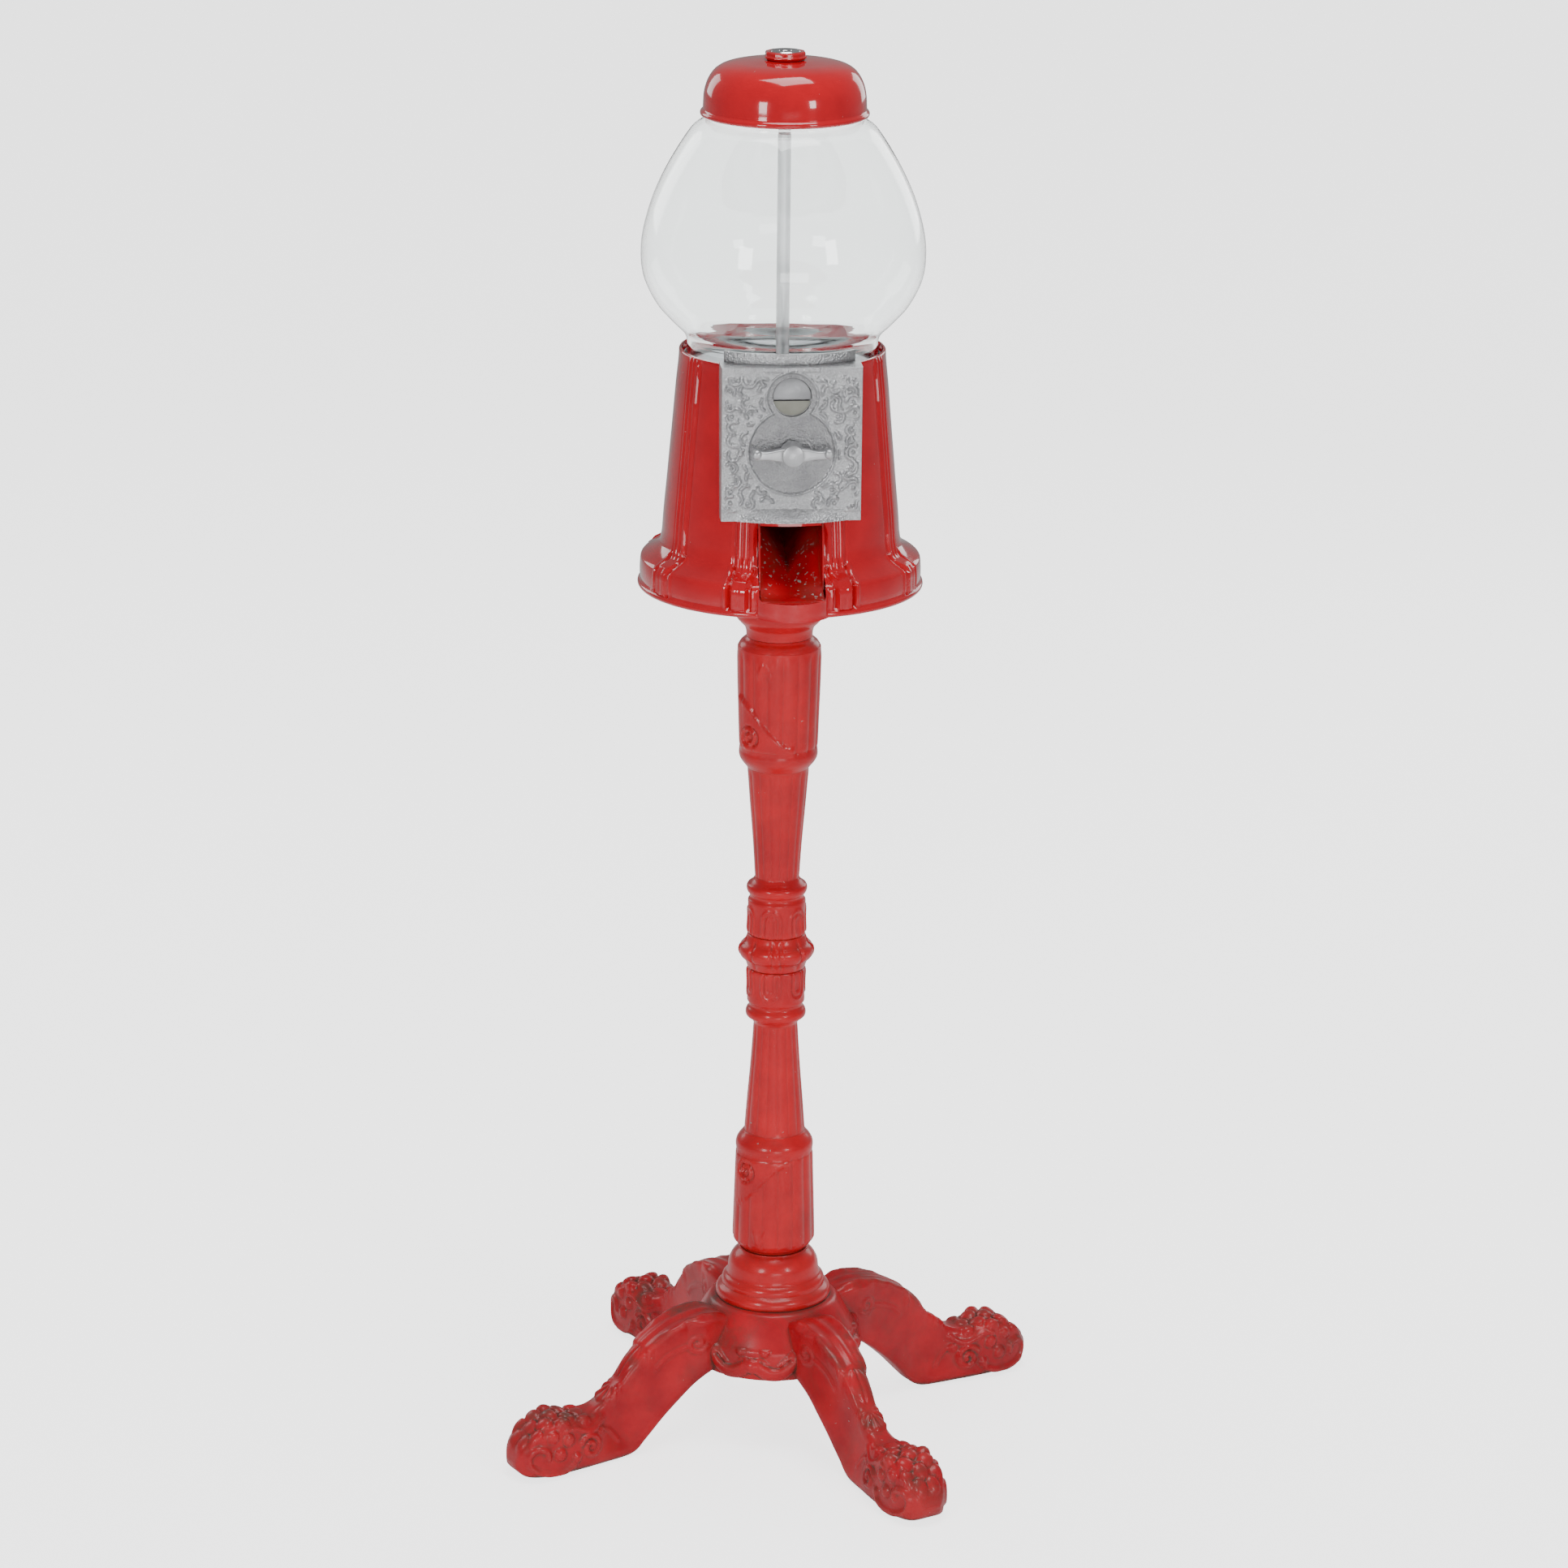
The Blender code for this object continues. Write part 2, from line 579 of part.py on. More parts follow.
def make_pinion(brass):
    """Six narrow teeth, the top one between two teeth of the crown ring."""
    outline = []
    pitch = 360.0 / PINION_TEETH
    for tooth in range(PINION_TEETH):
        centre = 90.0 - tooth * pitch
        for radius, half in ((4.9, 1.3), (PINION_PITCH + TOOTH_DEPTH, 0.8)):
            x, z, _ = polar(radius, centre + math.degrees(half / radius))
            outline.append((x, z + AXLE_HEIGHT))
        for radius, half in ((PINION_PITCH + TOOTH_DEPTH, 0.8), (4.9, 1.3)):
            x, z, _ = polar(radius, centre - math.degrees(half / radius))
            outline.append((x, z + AXLE_HEIGHT))
    item = add_object("drive_pinion", prism(outline, -41.5, -36.5, "Y"), brass, (0, -39, AXLE_HEIGHT))
    combine(item, "DIFFERENCE", disc((0, AXLE_HEIGHT), 3.3, -50, -30, "Y"))


def make_pawl(steel):
    """A small lever against the coin wheel's rim, with its pin and torsion spring."""
    x, _, z = PAWL_PIVOT
    direction = math.atan2(z - AXLE_HEIGHT, x)
    tip_angle = direction - math.radians(14.0)
    reach = COIN_WHEEL_RADIUS + 0.5
    tip = (reach * math.cos(tip_angle), AXLE_HEIGHT + reach * math.sin(tip_angle))
    heel = ((reach + 3.5) * math.cos(tip_angle), AXLE_HEIGHT + (reach + 3.5) * math.sin(tip_angle))
    outline = arc((x, z), 2.6, -110, 60, 6) + [tip, heel]
    item = add_object("pawl", prism(outline, -70.1, -69.1, "Y"), steel, PAWL_PIVOT)
    combine(item, "DIFFERENCE", disc((x, z), 1.6, -75, -65, "Y", 10))
    add_object("pawl_pin", disc((x, z), 1.3, -71.2, -69.0, "Y", 10), steel)
    add_object("pawl_spring", ring((x, z), 2.3, 1.6, -71.1, -70.4, 12), steel)


# ---------------------------------------------------------------- hopper

def make_strap(steel):
    item = add_object("cross_strap", block((-66, -8, 701.2), (66, 8, STRAP_TOP)), steel)
    holes = [disc((x, 0), radius, 695, 710, count=12) for x, radius in ((-62, 2.3), (62, 2.3), (0, ROD_BORE))]
    combine(item, "DIFFERENCE", merged(*holes))
    for name, x in (("left", -62), ("right", 62)):
        screw = turned([(0, 707.8), (3.4, 707.8), (3.4, 705.5), (2, 705.5), (2, 691), (0, 691)], 8)
        bmesh.ops.translate(screw, verts=screw.verts, vec=(x, 0, 0))
        add_object(f"strap_screw_{name}", screw, steel)


def make_hopper(metal):
    """The pan under the globe, with the wheel's well, the gear groove and the drop hole."""
    outline = [
        (63.6, 751.5), (65, 751.5), (65, 745.3), (56, 745.3), (45, 736.5), (45, 705.6),
        (34, 705.6), (34, 710), (9, 710), (9, 705.6), (ROD_BORE, 705.6), (ROD_BORE, 712),
        (35.4, 712), (35.4, 707.2), (43.2, 707.2), (43.2, 738), (56.6, 747.3), (63.6, 747.3),
    ]
    item = add_object("hopper_pan", turned(outline, 28), metal)
    drop = disc((0, POCKET_CENTRE), POCKET_RADIUS, 700, 713)
    slot = block((-9.5, -48, 700), (9.5, -36.1, 711.9))
    combine(item, "DIFFERENCE", merged(drop, slot))
    cover = [(-10, 41.3)] + arc((0, POCKET_CENTRE), 11.5, 180, 360, 8) + [(10, 41.3)]
    add_object("pocket_cover", prism(cover, 733, 734.6), metal)


def make_ball_wheel(metal):
    outline = [(ROD_BORE, WHEEL_BOTTOM), (WHEEL_RADIUS, WHEEL_BOTTOM), (WHEEL_RADIUS, WHEEL_TOP - 1.5),
               (WHEEL_RADIUS - 1.5, WHEEL_TOP), (ROD_BORE, WHEEL_TOP)]
    origin = (0, 0, WHEEL_BOTTOM)
    item = add_object("ball_wheel", turned(outline, 28), metal, origin)
    pitch = 360.0 / POCKETS
    pocket = disc((0, POCKET_CENTRE), POCKET_RADIUS, WHEEL_BOTTOM - 5, WHEEL_TOP + 5, count=12)
    combine(item, "DIFFERENCE", spread(pocket, [pitch * k for k in range(POCKETS)]))
    tip = AXLE_HEIGHT + PINION_PITCH - TOOTH_DEPTH
    tooth = prism([(-0.8, tip), (0.8, tip), (1.3, WHEEL_BOTTOM + 0.5), (-1.3, WHEEL_BOTTOM + 0.5)],
                  -41.5, -37.0, "Y")
    step = 360.0 / CROWN_TEETH
    combine(item, "UNION", spread(tooth, [step * (k + 0.5) for k in range(CROWN_TEETH)]))


def make_centre_rod(steel):
    rod = disc((0, 0), ROD_RADIUS, 692, 943.4)
    add_object("centre_rod", rod, steel)
    hexagon_nut("centre_rod_nut", steel, 14.0, ROD_BORE, 694.2, 700.9)


# ---------------------------------------------------------------- globe and lid

GLOBE_OUTSIDE = smooth([
    (NECK_RADIUS, 761), (67.4, 770.5), (83.1, 787), (92.6, 818), (87.4, 848), (74.6, 877),
    (54.2, 904.1), (50.0, 906.8),
])


def make_globe(glass):
    outside = [(NECK_RADIUS, NECK_BOTTOM)] + GLOBE_OUTSIDE
    inside = [(NECK_RADIUS - GLASS, NECK_BOTTOM)] + offset(GLOBE_OUTSIDE, GLASS)
    add_object("globe", turned(outside + inside[::-1], 28), glass)


def make_lid(paint, chrome):
    outside = [(ROD_BORE, 943.8), (16, 943.8), (25.5, 943), (39.6, 941), (45.4, 937.2),
               (49.2, 933), (51.6, 928), (52.7, 921.5), (53.1, 914)]
    lip = arc((52.7, 909.6), 2.1, 60, -90, 4)
    inside = [(51.5, 907.5), (51.2, 920), (49.2, 929), (44.2, 935.8), (39.1, 939.2),
              (ROD_BORE, 942)]
    origin = (0, 0, 905)
    add_object("lid", turned(outside + lip + inside, 28), paint, origin)
    collar = [(10.4, 944.1), (12.6, 944.1), (14.2, 945.4), (14.2, 946.3), (13.2, 946.9),
              (13.4, 948.6), (12.6, 949.4), (10.4, 949.4)]
    add_object("lock_collar", turned(collar, 16), paint, origin)
    lock = disc((0, 0), 10.0, 944.1, LOCK_TOP, count=20)
    item = add_object("lock_cylinder", lock, chrome, (0, 0, 944))
    combine(item, "DIFFERENCE", block((-0.9, -4, 948), (0.9, 4, 952)))


def main():
    clear_scene()
    red = surface("gloss_red_paint", RED, 0.18)
    stand_red = surface("worn_red_paint", STAND_RED, 0.42)
    silver = surface("cast_metal", SILVER, 0.42, 1.0)
    steel = surface("zinc_steel", STEEL, 0.38, 1.0)
    chrome = surface("chrome", SILVER, 0.12, 1.0)
    brass = surface("brass", BRASS, 0.3, 1.0)
    glass = surface("clear_glass", CLEAR, 0.03)
    make_stand(stand_red, steel)
    make_body(red)
    make_base_plate(steel)
    make_chute(red)
    make_front_plate(silver)
    make_mechanism_frame(steel, brass)
    make_coin_wheel(steel)
    make_handle(silver)
    make_axle(steel)
    make_pinion(brass)
    make_pawl(steel)
    make_strap(steel)
    make_hopper(silver)
    make_ball_wheel(silver)
    make_centre_rod(steel)
    make_globe(glass)
    make_lid(red, chrome)


if __name__ == "__main__":
    main()
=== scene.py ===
import math

import bpy
import numpy as np
from mathutils import Matrix, Vector


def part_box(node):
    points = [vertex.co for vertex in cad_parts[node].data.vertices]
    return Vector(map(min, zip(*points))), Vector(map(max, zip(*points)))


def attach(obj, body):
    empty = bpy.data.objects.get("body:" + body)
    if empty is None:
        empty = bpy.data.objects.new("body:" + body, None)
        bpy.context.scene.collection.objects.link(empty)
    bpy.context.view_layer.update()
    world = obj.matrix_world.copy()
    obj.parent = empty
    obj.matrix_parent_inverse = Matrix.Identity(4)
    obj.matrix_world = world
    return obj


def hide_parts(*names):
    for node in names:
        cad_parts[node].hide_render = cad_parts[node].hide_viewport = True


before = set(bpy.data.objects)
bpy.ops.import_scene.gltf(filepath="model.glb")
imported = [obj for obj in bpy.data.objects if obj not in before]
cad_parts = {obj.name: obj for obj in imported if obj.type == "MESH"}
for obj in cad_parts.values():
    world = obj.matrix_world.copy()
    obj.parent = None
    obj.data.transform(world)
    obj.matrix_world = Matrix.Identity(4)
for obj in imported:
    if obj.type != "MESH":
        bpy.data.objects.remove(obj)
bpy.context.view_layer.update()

bl_info = {
    "name": "Coin Vendor Builder",
    "version": (1, 0, 0),
    "blender": (4, 5, 0),
    "location": "View3D > Sidebar > Vendor",
    "description": "Models a glass-globe coin vendor on a cast pedestal stand",
    "category": "Object",
}

MM = 0.001
MACHINE = "machine"
LEG_ANGLES = [26.2 + 90.0 * k for k in range(4)]
RIB_ANGLES = (-22.0, 22.0, -62.0, 62.0, -120.0, 120.0, 180.0)
FACING = -95.1      # the way the front of the column's ornament looks, in degrees

# Sizes in millimetres that more than one piece or step uses, or that are worth a name
PLATE_FACE = -74.0
PLATE_HALF_WIDTH = 45.0
PLATE_BOTTOM = 657.5
PLATE_TOP = 758.0
WINDOW_RADIUS = 12.75
AXLE_FIELD_RADIUS = 28.2
WINDOW_FIELD_RADIUS = 16.6
GLASS_WALL = 2.6
NECK_RADIUS = 62.4
ROD_RADIUS = 4.35
COLUMN_BORE = 8.0
BOLT_BORE = 5.6
CHUTE_HALF_WIDTH = 21.5
SILL_RISE = 12.6
HEAD_RISE = 57.9
LIP_CENTRE = 70.0
LIP_RADIUS = 33.0

# The camera's place in metres, its lens in millimetres and its turns in degrees
CAMERA_PLACE = (-0.297, -3.308, 1.4634)
CAMERA_LENS = 119.14
CAMERA_PITCH = 16.84
CAMERA_ROLL = 0.61
CAMERA_HEADING = 5.2


def low(node):
    """The least corner of a CAD node's box, in millimetres."""
    return Vector(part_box(node)[0]) / MM


def high(node):
    """The greatest corner of a CAD node's box, in millimetres."""
    return Vector(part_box(node)[1]) / MM


COLUMN_MIDDLE = (low("centre_knuckle").z + high("centre_knuckle").z) / 2
AXLE_HEIGHT = (low("axle").z + high("axle").z) / 2
WINDOW_HEIGHT = AXLE_HEIGHT + 35.6


# ---------------------------------------------------------------- modelling helpers

def deselect():
    if bpy.context.object and bpy.context.object.mode != "OBJECT":
        bpy.ops.object.mode_set(mode="OBJECT")
    bpy.ops.object.select_all(action="DESELECT")


def activate(item):
    deselect()
    item.select_set(True)
    bpy.context.view_layer.objects.active = item


def smooth(points, steps=4):
    """A curve through the points, with extra points between each pair of them."""
    curve = []
    last = len(points) - 1
    for index in range(last):
        before = Vector(points[max(index - 1, 0)])
        start = Vector(points[index])
        end = Vector(points[index + 1])
        after = Vector(points[min(index + 2, last)])
        for step in range(steps):
            t = step / steps
            curve.append(tuple(0.5 * (
                2 * start + (end - before) * t
                + (2 * before - 5 * start + 4 * end - after) * t * t
                + (3 * start - before - 3 * end + after) * t * t * t
            )))
    curve.append(tuple(points[last]))
    return curve


def arc(centre, radius, start, end, steps):
    """Points on an arc, with its start and end in degrees."""
    points = []
    for step in range(steps + 1):
        angle = math.radians(start + (end - start) * step / steps)
        points.append((centre[0] + radius * math.cos(angle), centre[1] + radius * math.sin(angle)))
    return points


def close_up(merge=False):
    """Leave edit mode with every face pointing outwards, and doubled points merged if asked."""
    bpy.ops.mesh.select_all(action="SELECT")
    if merge:
        bpy.ops.mesh.remove_doubles(threshold=1e-6)
    bpy.ops.mesh.normals_make_consistent(inside=False)
    bpy.ops.object.mode_set(mode="OBJECT")


def lathe(name, outline, segments=128, capped=False):
    """Turn an outline of (radius, height) in millimetres by extruding one ring from the last."""
    deselect()
    radius, height = outline[0]
    bpy.ops.mesh.primitive_circle_add(vertices=segments, radius=radius * MM,
                                      location=(0, 0, height * MM))
    item = bpy.context.object
    item.name = name
    bpy.ops.object.mode_set(mode="EDIT")
    bpy.ops.mesh.select_all(action="SELECT")
    if capped:
        bpy.ops.mesh.edge_face_add()
    for (start, bottom), (end, top) in zip(outline, outline[1:]):
        bpy.ops.mesh.extrude_edges_move(
            TRANSFORM_OT_translate={"value": (0, 0, (top - bottom) * MM)})
        bpy.ops.transform.resize(value=(end / start, end / start, 1), center_override=(0, 0, 0))
    if capped:
        bpy.ops.mesh.edge_face_add()
    close_up(merge=True)
    bpy.ops.object.transform_apply(location=True, rotation=True, scale=True)
    return item


def slab(name, outline, start, end, axis="Z"):
    """Extrude a closed outline along an axis: XY points on Z, XZ points on Y, YZ points on X."""
    place = {
        "Z": lambda a, b, c: (a, b, c),
        "Y": lambda a, b, c: (a, c, b),
        "X": lambda a, b, c: (c, a, b),
    }[axis]
    deselect()
    bpy.ops.mesh.primitive_circle_add(vertices=len(outline), radius=MM, fill_type="NGON")
    item = bpy.context.object
    item.name = name
    for vertex, (a, b) in zip(item.data.vertices, outline):
        vertex.co = Vector(place(a, b, start)) * MM
    bpy.ops.object.mode_set(mode="EDIT")
    bpy.ops.mesh.select_all(action="SELECT")
    step = Vector(place(0, 0, end - start)) * MM
    bpy.ops.mesh.extrude_region_move(TRANSFORM_OT_translate={"value": tuple(step)})
    close_up()
    return item


def box_piece(name, corner, opposite):
    """A plain box between two corners, used as a cutter."""
    outline = [(corner[0], corner[1]), (opposite[0], corner[1]),
               (opposite[0], opposite[1]), (corner[0], opposite[1])]
    return slab(name, outline, corner[2], opposite[2])


def apply_modifier(item, kind, **values):
    activate(item)
    step = item.modifiers.new(kind.title(), kind)
    for key, value in values.items():
        setattr(step, key, value)
    bpy.ops.object.modifier_apply(modifier=step.name)


def round_edges(item, width, segments=3, angle=30.0):
    apply_modifier(item, "BEVEL", width=width * MM, segments=segments, limit_method="ANGLE",
                   angle_limit=math.radians(angle))


def cut(item, *cutters):
    for cutter in cutters:
        apply_modifier(item, "BOOLEAN", operation="DIFFERENCE", solver="EXACT", object=cutter)
        bpy.data.objects.remove(cutter, do_unlink=True)


def join(name, items):
    activate(items[0])
    for item in items:
        item.select_set(True)
    bpy.ops.object.join()
    whole = bpy.context.object
    whole.name = name
    return whole


def shade(item, angle=40.0):
    activate(item)
    bpy.ops.object.shade_smooth_by_angle(angle=math.radians(angle))


def finish(item, material, body=MACHINE, replaces=(), angle=40.0):
    """Shade the piece, give it its material, hang it on what it rides on, and hide the CAD nodes it
    stands for.
    """
    shade(item, angle)
    item.data.materials.clear()
    item.data.materials.append(material)
    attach(item, body)
    if replaces:
        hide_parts(*replaces)


def mesh_points(item):
    """The mesh's points, one row each, in metres."""
    flat = np.empty(len(item.data.vertices) * 3)
    item.data.vertices.foreach_get("co", flat)
    return flat.reshape(-1, 3)


def place_points(item, points):
    """Put the mesh's points at the rows given in millimetres."""
    item.data.vertices.foreach_set("co", (points * MM).ravel())
    item.data.update()


def emboss(item, relief):
    """Move every point away from the vertical axis by relief(radius, angle, height), in mm."""
    points = mesh_points(item) / MM
    radius = np.hypot(points[:, 0], points[:, 1])
    angle = np.degrees(np.arctan2(points[:, 1], points[:, 0]))
    moved = radius + relief(radius, angle, points[:, 2])
    share = np.where(radius > 1e-6, moved / np.maximum(radius, 1e-6), 1.0)
    points[:, 0] *= share
    points[:, 1] *= share
    place_points(item, points)


def turn_away(angle, centre, period=360.0):
    """Signed degrees from a centre angle, repeating with the period."""
    return (angle - centre + period / 2) % period - period / 2


def ramp(value, start, end):
    """A soft step from 0 at start to 1 at end."""
    t = np.clip((value - start) / (end - start), 0.0, 1.0)
    return t * t * (3 - 2 * t)


def bump(distance, width):
    """A soft ridge of height 1 along a distance of nought."""
    return np.exp(-(distance / width) ** 2)


def distance_to(path, x, y):
    """Distance of many points to a path of straight pieces."""
    best = np.full(x.shape, 1e9)
    for (ax, ay), (bx, by) in zip(path, path[1:]):
        dx, dy = bx - ax, by - ay
        length = max(dx * dx + dy * dy, 1e-9)
        t = np.clip(((x - ax) * dx + (y - ay) * dy) / length, 0.0, 1.0)
        best = np.minimum(best, np.hypot(x - ax - t * dx, y - ay - t * dy))
    return best


def spiral(centre, start_radius, end_radius, start, turns, steps=26):
    """Points on a spiral that starts at an angle in degrees."""
    points = []
    for step in range(steps + 1):
        t = step / steps
        radius = start_radius + (end_radius - start_radius) * t
        angle = math.radians(start + 360.0 * turns * t)
        points.append((centre[0] + radius * math.cos(angle), centre[1] + radius * math.sin(angle)))
    return points


# ---------------------------------------------------------------- materials

def add_node(tree, kind, inputs=None, **values):
    """A shader node with its values set, and its inputs linked or set by name or number."""
    made = tree.nodes.new(kind)
    for key, value in values.items():
        setattr(made, key, value)
    for key, value in (inputs or {}).items():
        if isinstance(value, bpy.types.NodeSocket):
            tree.links.new(value, made.inputs[key])
        else:
            made.inputs[key].default_value = value
    return made


def noise(tree, where, scale, detail=4.0, rough=0.55, distortion=0.0):
    return add_node(tree, "ShaderNodeTexNoise", {
        "Vector": where, "Scale": scale, "Detail": detail, "Roughness": rough,
        "Distortion": distortion}).outputs["Fac"]


def curve_between(tree, value, start, end):
    return add_node(tree, "ShaderNodeMapRange", {
        "Value": value, "From Min": start, "From Max": end}, clamp=True).outputs["Result"]


def mixed(tree, share, first, second):
    """Colour that runs from the first to the second as the share goes from 0 to 1."""
    return add_node(tree, "ShaderNodeMix", {0: share, 6: first, 7: second},
                    data_type="RGBA").outputs[2]


def maths(tree, operation, first, second=0.5):
    return add_node(tree, "ShaderNodeMath", {0: first, 1: second}, operation=operation).outputs[0]


def bumped(tree, shader, height, strength, distance):
    made = add_node(tree, "ShaderNodeBump", {
        "Height": height, "Strength": strength, "Distance": distance})
    tree.links.new(made.outputs["Normal"], shader.inputs["Normal"])


def start_material(name):
    material = bpy.data.materials.new(name)
    material.use_nodes = True
    tree = material.node_tree
    shader = tree.nodes["Principled BSDF"]
    where = add_node(tree, "ShaderNodeTexCoord").outputs["Object"]
    return material, tree, shader, where


def paint(name, colour, shadow, roughness, coat, grime_and_shade=0.0, chips=0.5, wear=0.0, chipping=0.735):
    """Enamel over cast metal: cloudy colour, chips down to metal, painted shade in the hollows and
    creases mixed with grime.
    """
    material, tree, shader, where = start_material(name)
    clouds = curve_between(tree, noise(tree, where, 38.0, 5.0), 0.35, 0.7)
    base = mixed(tree, clouds, colour, shadow)
    if wear:
        edge = add_node(tree, "ShaderNodeNewGeometry").outputs["Pointiness"]
        streaks = noise(tree, where, 210.0, 6.0, 0.7)
        worn = maths(tree, "MULTIPLY", curve_between(tree, edge, 0.515, 0.6),
                     curve_between(tree, streaks, 0.42, 0.62))
        worn = maths(tree, "MULTIPLY", worn, wear)
        base = mixed(tree, worn, base, (0.5, 0.12, 0.1, 1))
    if grime_and_shade:
        # Painted shade: the AO node and the concave creases darken the hollows; noise patches of
        # grime on upward faces join it.
        hollow = add_node(tree, "ShaderNodeAmbientOcclusion", {"Distance": 0.007}, samples=8)
        shade_and_grime = curve_between(tree, hollow.outputs["AO"], 0.88, 0.5)
        crease = add_node(tree, "ShaderNodeNewGeometry").outputs["Pointiness"]
        shade_and_grime = maths(tree, "MAXIMUM", shade_and_grime, curve_between(tree, crease, 0.496, 0.45))
        patches = curve_between(tree, noise(tree, where, 34.0, 7.0, 0.7, 0.5), 0.44, 0.66)
        facing = add_node(tree, "ShaderNodeSeparateXYZ", {
            "Vector": add_node(tree, "ShaderNodeNewGeometry").outputs["Normal"]}).outputs["Z"]
        settled = maths(tree, "ADD", curve_between(tree, facing, 0.1, 0.75), 0.35)
        patches = maths(tree, "MULTIPLY", patches, settled)
        broken = curve_between(tree, noise(tree, where, 120.0, 5.0, 0.65), 0.3, 0.6)
        shade_and_grime = maths(tree, "MULTIPLY", shade_and_grime, maths(tree, "ADD", broken, 0.35))
        shade_and_grime = maths(tree, "MAXIMUM", shade_and_grime, maths(tree, "MULTIPLY", patches, 0.75))
        shade_and_grime = maths(tree, "MINIMUM", maths(tree, "MULTIPLY", shade_and_grime, grime_and_shade), 0.92)
        # The enamel goes brown where the painted shade of hollows and creases and the grime patches
        # fall.
        base = mixed(tree, shade_and_grime, base, (0.1, 0.055, 0.04, 1))
    specks = noise(tree, where, 330.0, 2.0, 0.5, 0.4)
    area = noise(tree, where, 17.0, 2.0)
    chipped = maths(tree, "MULTIPLY", curve_between(tree, specks, chipping, chipping + 0.015),
                    curve_between(tree, area, 0.5, 0.6))
    chipped = maths(tree, "MULTIPLY", chipped, chips)
    base = mixed(tree, chipped, base, (0.36, 0.33, 0.31, 1))
    tree.links.new(base, shader.inputs["Base Color"])
    rough = maths(tree, "ADD", maths(tree, "MULTIPLY", noise(tree, where, 60.0, 5.0), 0.22),
                  roughness - 0.11)
    rough = maths(tree, "ADD", rough, maths(tree, "MULTIPLY", chipped, 0.3))
    tree.links.new(rough, shader.inputs["Roughness"])
    shader.inputs["Specular IOR Level"].default_value = 0.25
    shader.inputs["Coat Weight"].default_value = coat
    shader.inputs["Coat Roughness"].default_value = 0.04 if coat > 0.6 else 0.16
    skin = maths(tree, "ADD", maths(tree, "MULTIPLY", noise(tree, where, 240.0, 3.0), 0.6),
                 maths(tree, "MULTIPLY", chipped, -2.0))
    bumped(tree, shader, skin, 0.25 if grime_and_shade else 0.1, 0.0005)
    return material


def sandy_metal(name, colour, grain=900.0, strength=0.5, roughness=0.42, metal=0.85):
    """Cast metal with a fine sandy skin, and hollows darkened by painted shade."""
    material, tree, shader, where = start_material(name)
    clouds = curve_between(tree, noise(tree, where, 70.0, 5.0), 0.3, 0.75)
    dull = tuple(channel * 0.72 for channel in colour[:3]) + (1,)
    base = mixed(tree, clouds, colour, dull)
    # Painted shade: the AO node darkens the hollows towards dark grey.
    hollow = add_node(tree, "ShaderNodeAmbientOcclusion", {"Distance": 0.003}, samples=8)
    shade_and_grime = maths(tree, "MULTIPLY", curve_between(tree, hollow.outputs["AO"], 0.85, 0.45), 0.6)
    base = mixed(tree, shade_and_grime, base, (0.16, 0.155, 0.15, 1))
    tree.links.new(base, shader.inputs["Base Color"])
    shader.inputs["Metallic"].default_value = metal
    rough = maths(tree, "ADD", maths(tree, "MULTIPLY", noise(tree, where, 300.0, 5.0), 0.24),
                  roughness - 0.12)
    tree.links.new(rough, shader.inputs["Roughness"])
    sand = add_node(tree, "ShaderNodeTexVoronoi", {"Vector": where, "Scale": grain})
    bumped(tree, shader, maths(tree, "ADD", sand.outputs["Distance"],
                               noise(tree, where, grain * 0.6, 4.0)), strength, 0.0004)
    return material


def plate_metal(name, colour):
    """The coin plate's bright sandy casting, with a duller rubbed field round the handle."""
    material = sandy_metal(name, colour, 800.0, 0.8, 0.34)
    tree = material.node_tree
    shader = tree.nodes["Principled BSDF"]
    where = add_node(tree, "ShaderNodeTexCoord").outputs["Object"]
    flat = add_node(tree, "ShaderNodeVectorMath", {0: where, 1: (1, 0, 1)}, operation="MULTIPLY")
    reaches = []
    for height, reach in ((AXLE_HEIGHT, AXLE_FIELD_RADIUS), (WINDOW_HEIGHT, WINDOW_FIELD_RADIUS)):
        away = add_node(tree, "ShaderNodeVectorMath", {
            0: flat.outputs[0], 1: (0, 0, height * MM)}, operation="DISTANCE")
        reaches.append(maths(tree, "SUBTRACT", away.outputs["Value"], reach * MM))
    inside = curve_between(tree, maths(tree, "MINIMUM", *reaches), -0.0006, -0.0016)
    rub = curve_between(tree, noise(tree, where, 90.0, 6.0, 0.6, 0.8), 0.3, 0.7)
    speckle = curve_between(tree, noise(tree, where, 620.0, 3.0, 0.7), 0.3, 0.7)
    dull = mixed(tree, rub, (0.3, 0.3, 0.31, 1), (0.4, 0.4, 0.41, 1))
    current = shader.inputs["Base Color"].links[0].from_socket
    grainy = mixed(tree, maths(tree, "MULTIPLY", speckle, 0.45), current, (0.3, 0.3, 0.31, 1))
    tree.links.new(mixed(tree, inside, grainy, dull), shader.inputs["Base Color"])
    return material


def drawn_metal(name, colour, roughness, stretch=(1.0, 1.0, 0.06), metal=1.0):
    """Rolled or drawn metal with fine lines along its length."""
    material, tree, shader, where = start_material(name)
    lines = add_node(tree, "ShaderNodeMapping", {"Vector": where, "Scale": stretch}).outputs[0]
    grain = noise(tree, lines, 900.0, 5.0, 0.6)
    stains = curve_between(tree, noise(tree, where, 45.0, 5.0), 0.4, 0.75)
    dull = tuple(channel * 0.62 for channel in colour[:3]) + (1,)
    base = mixed(tree, maths(tree, "MULTIPLY", stains, 0.7), colour, dull)
    tree.links.new(base, shader.inputs["Base Color"])
    shader.inputs["Metallic"].default_value = metal
    rough = maths(tree, "ADD", maths(tree, "MULTIPLY", grain, 0.2), roughness - 0.1)
    tree.links.new(rough, shader.inputs["Roughness"])
    bumped(tree, shader, grain, 0.12, 0.0002)
    return material


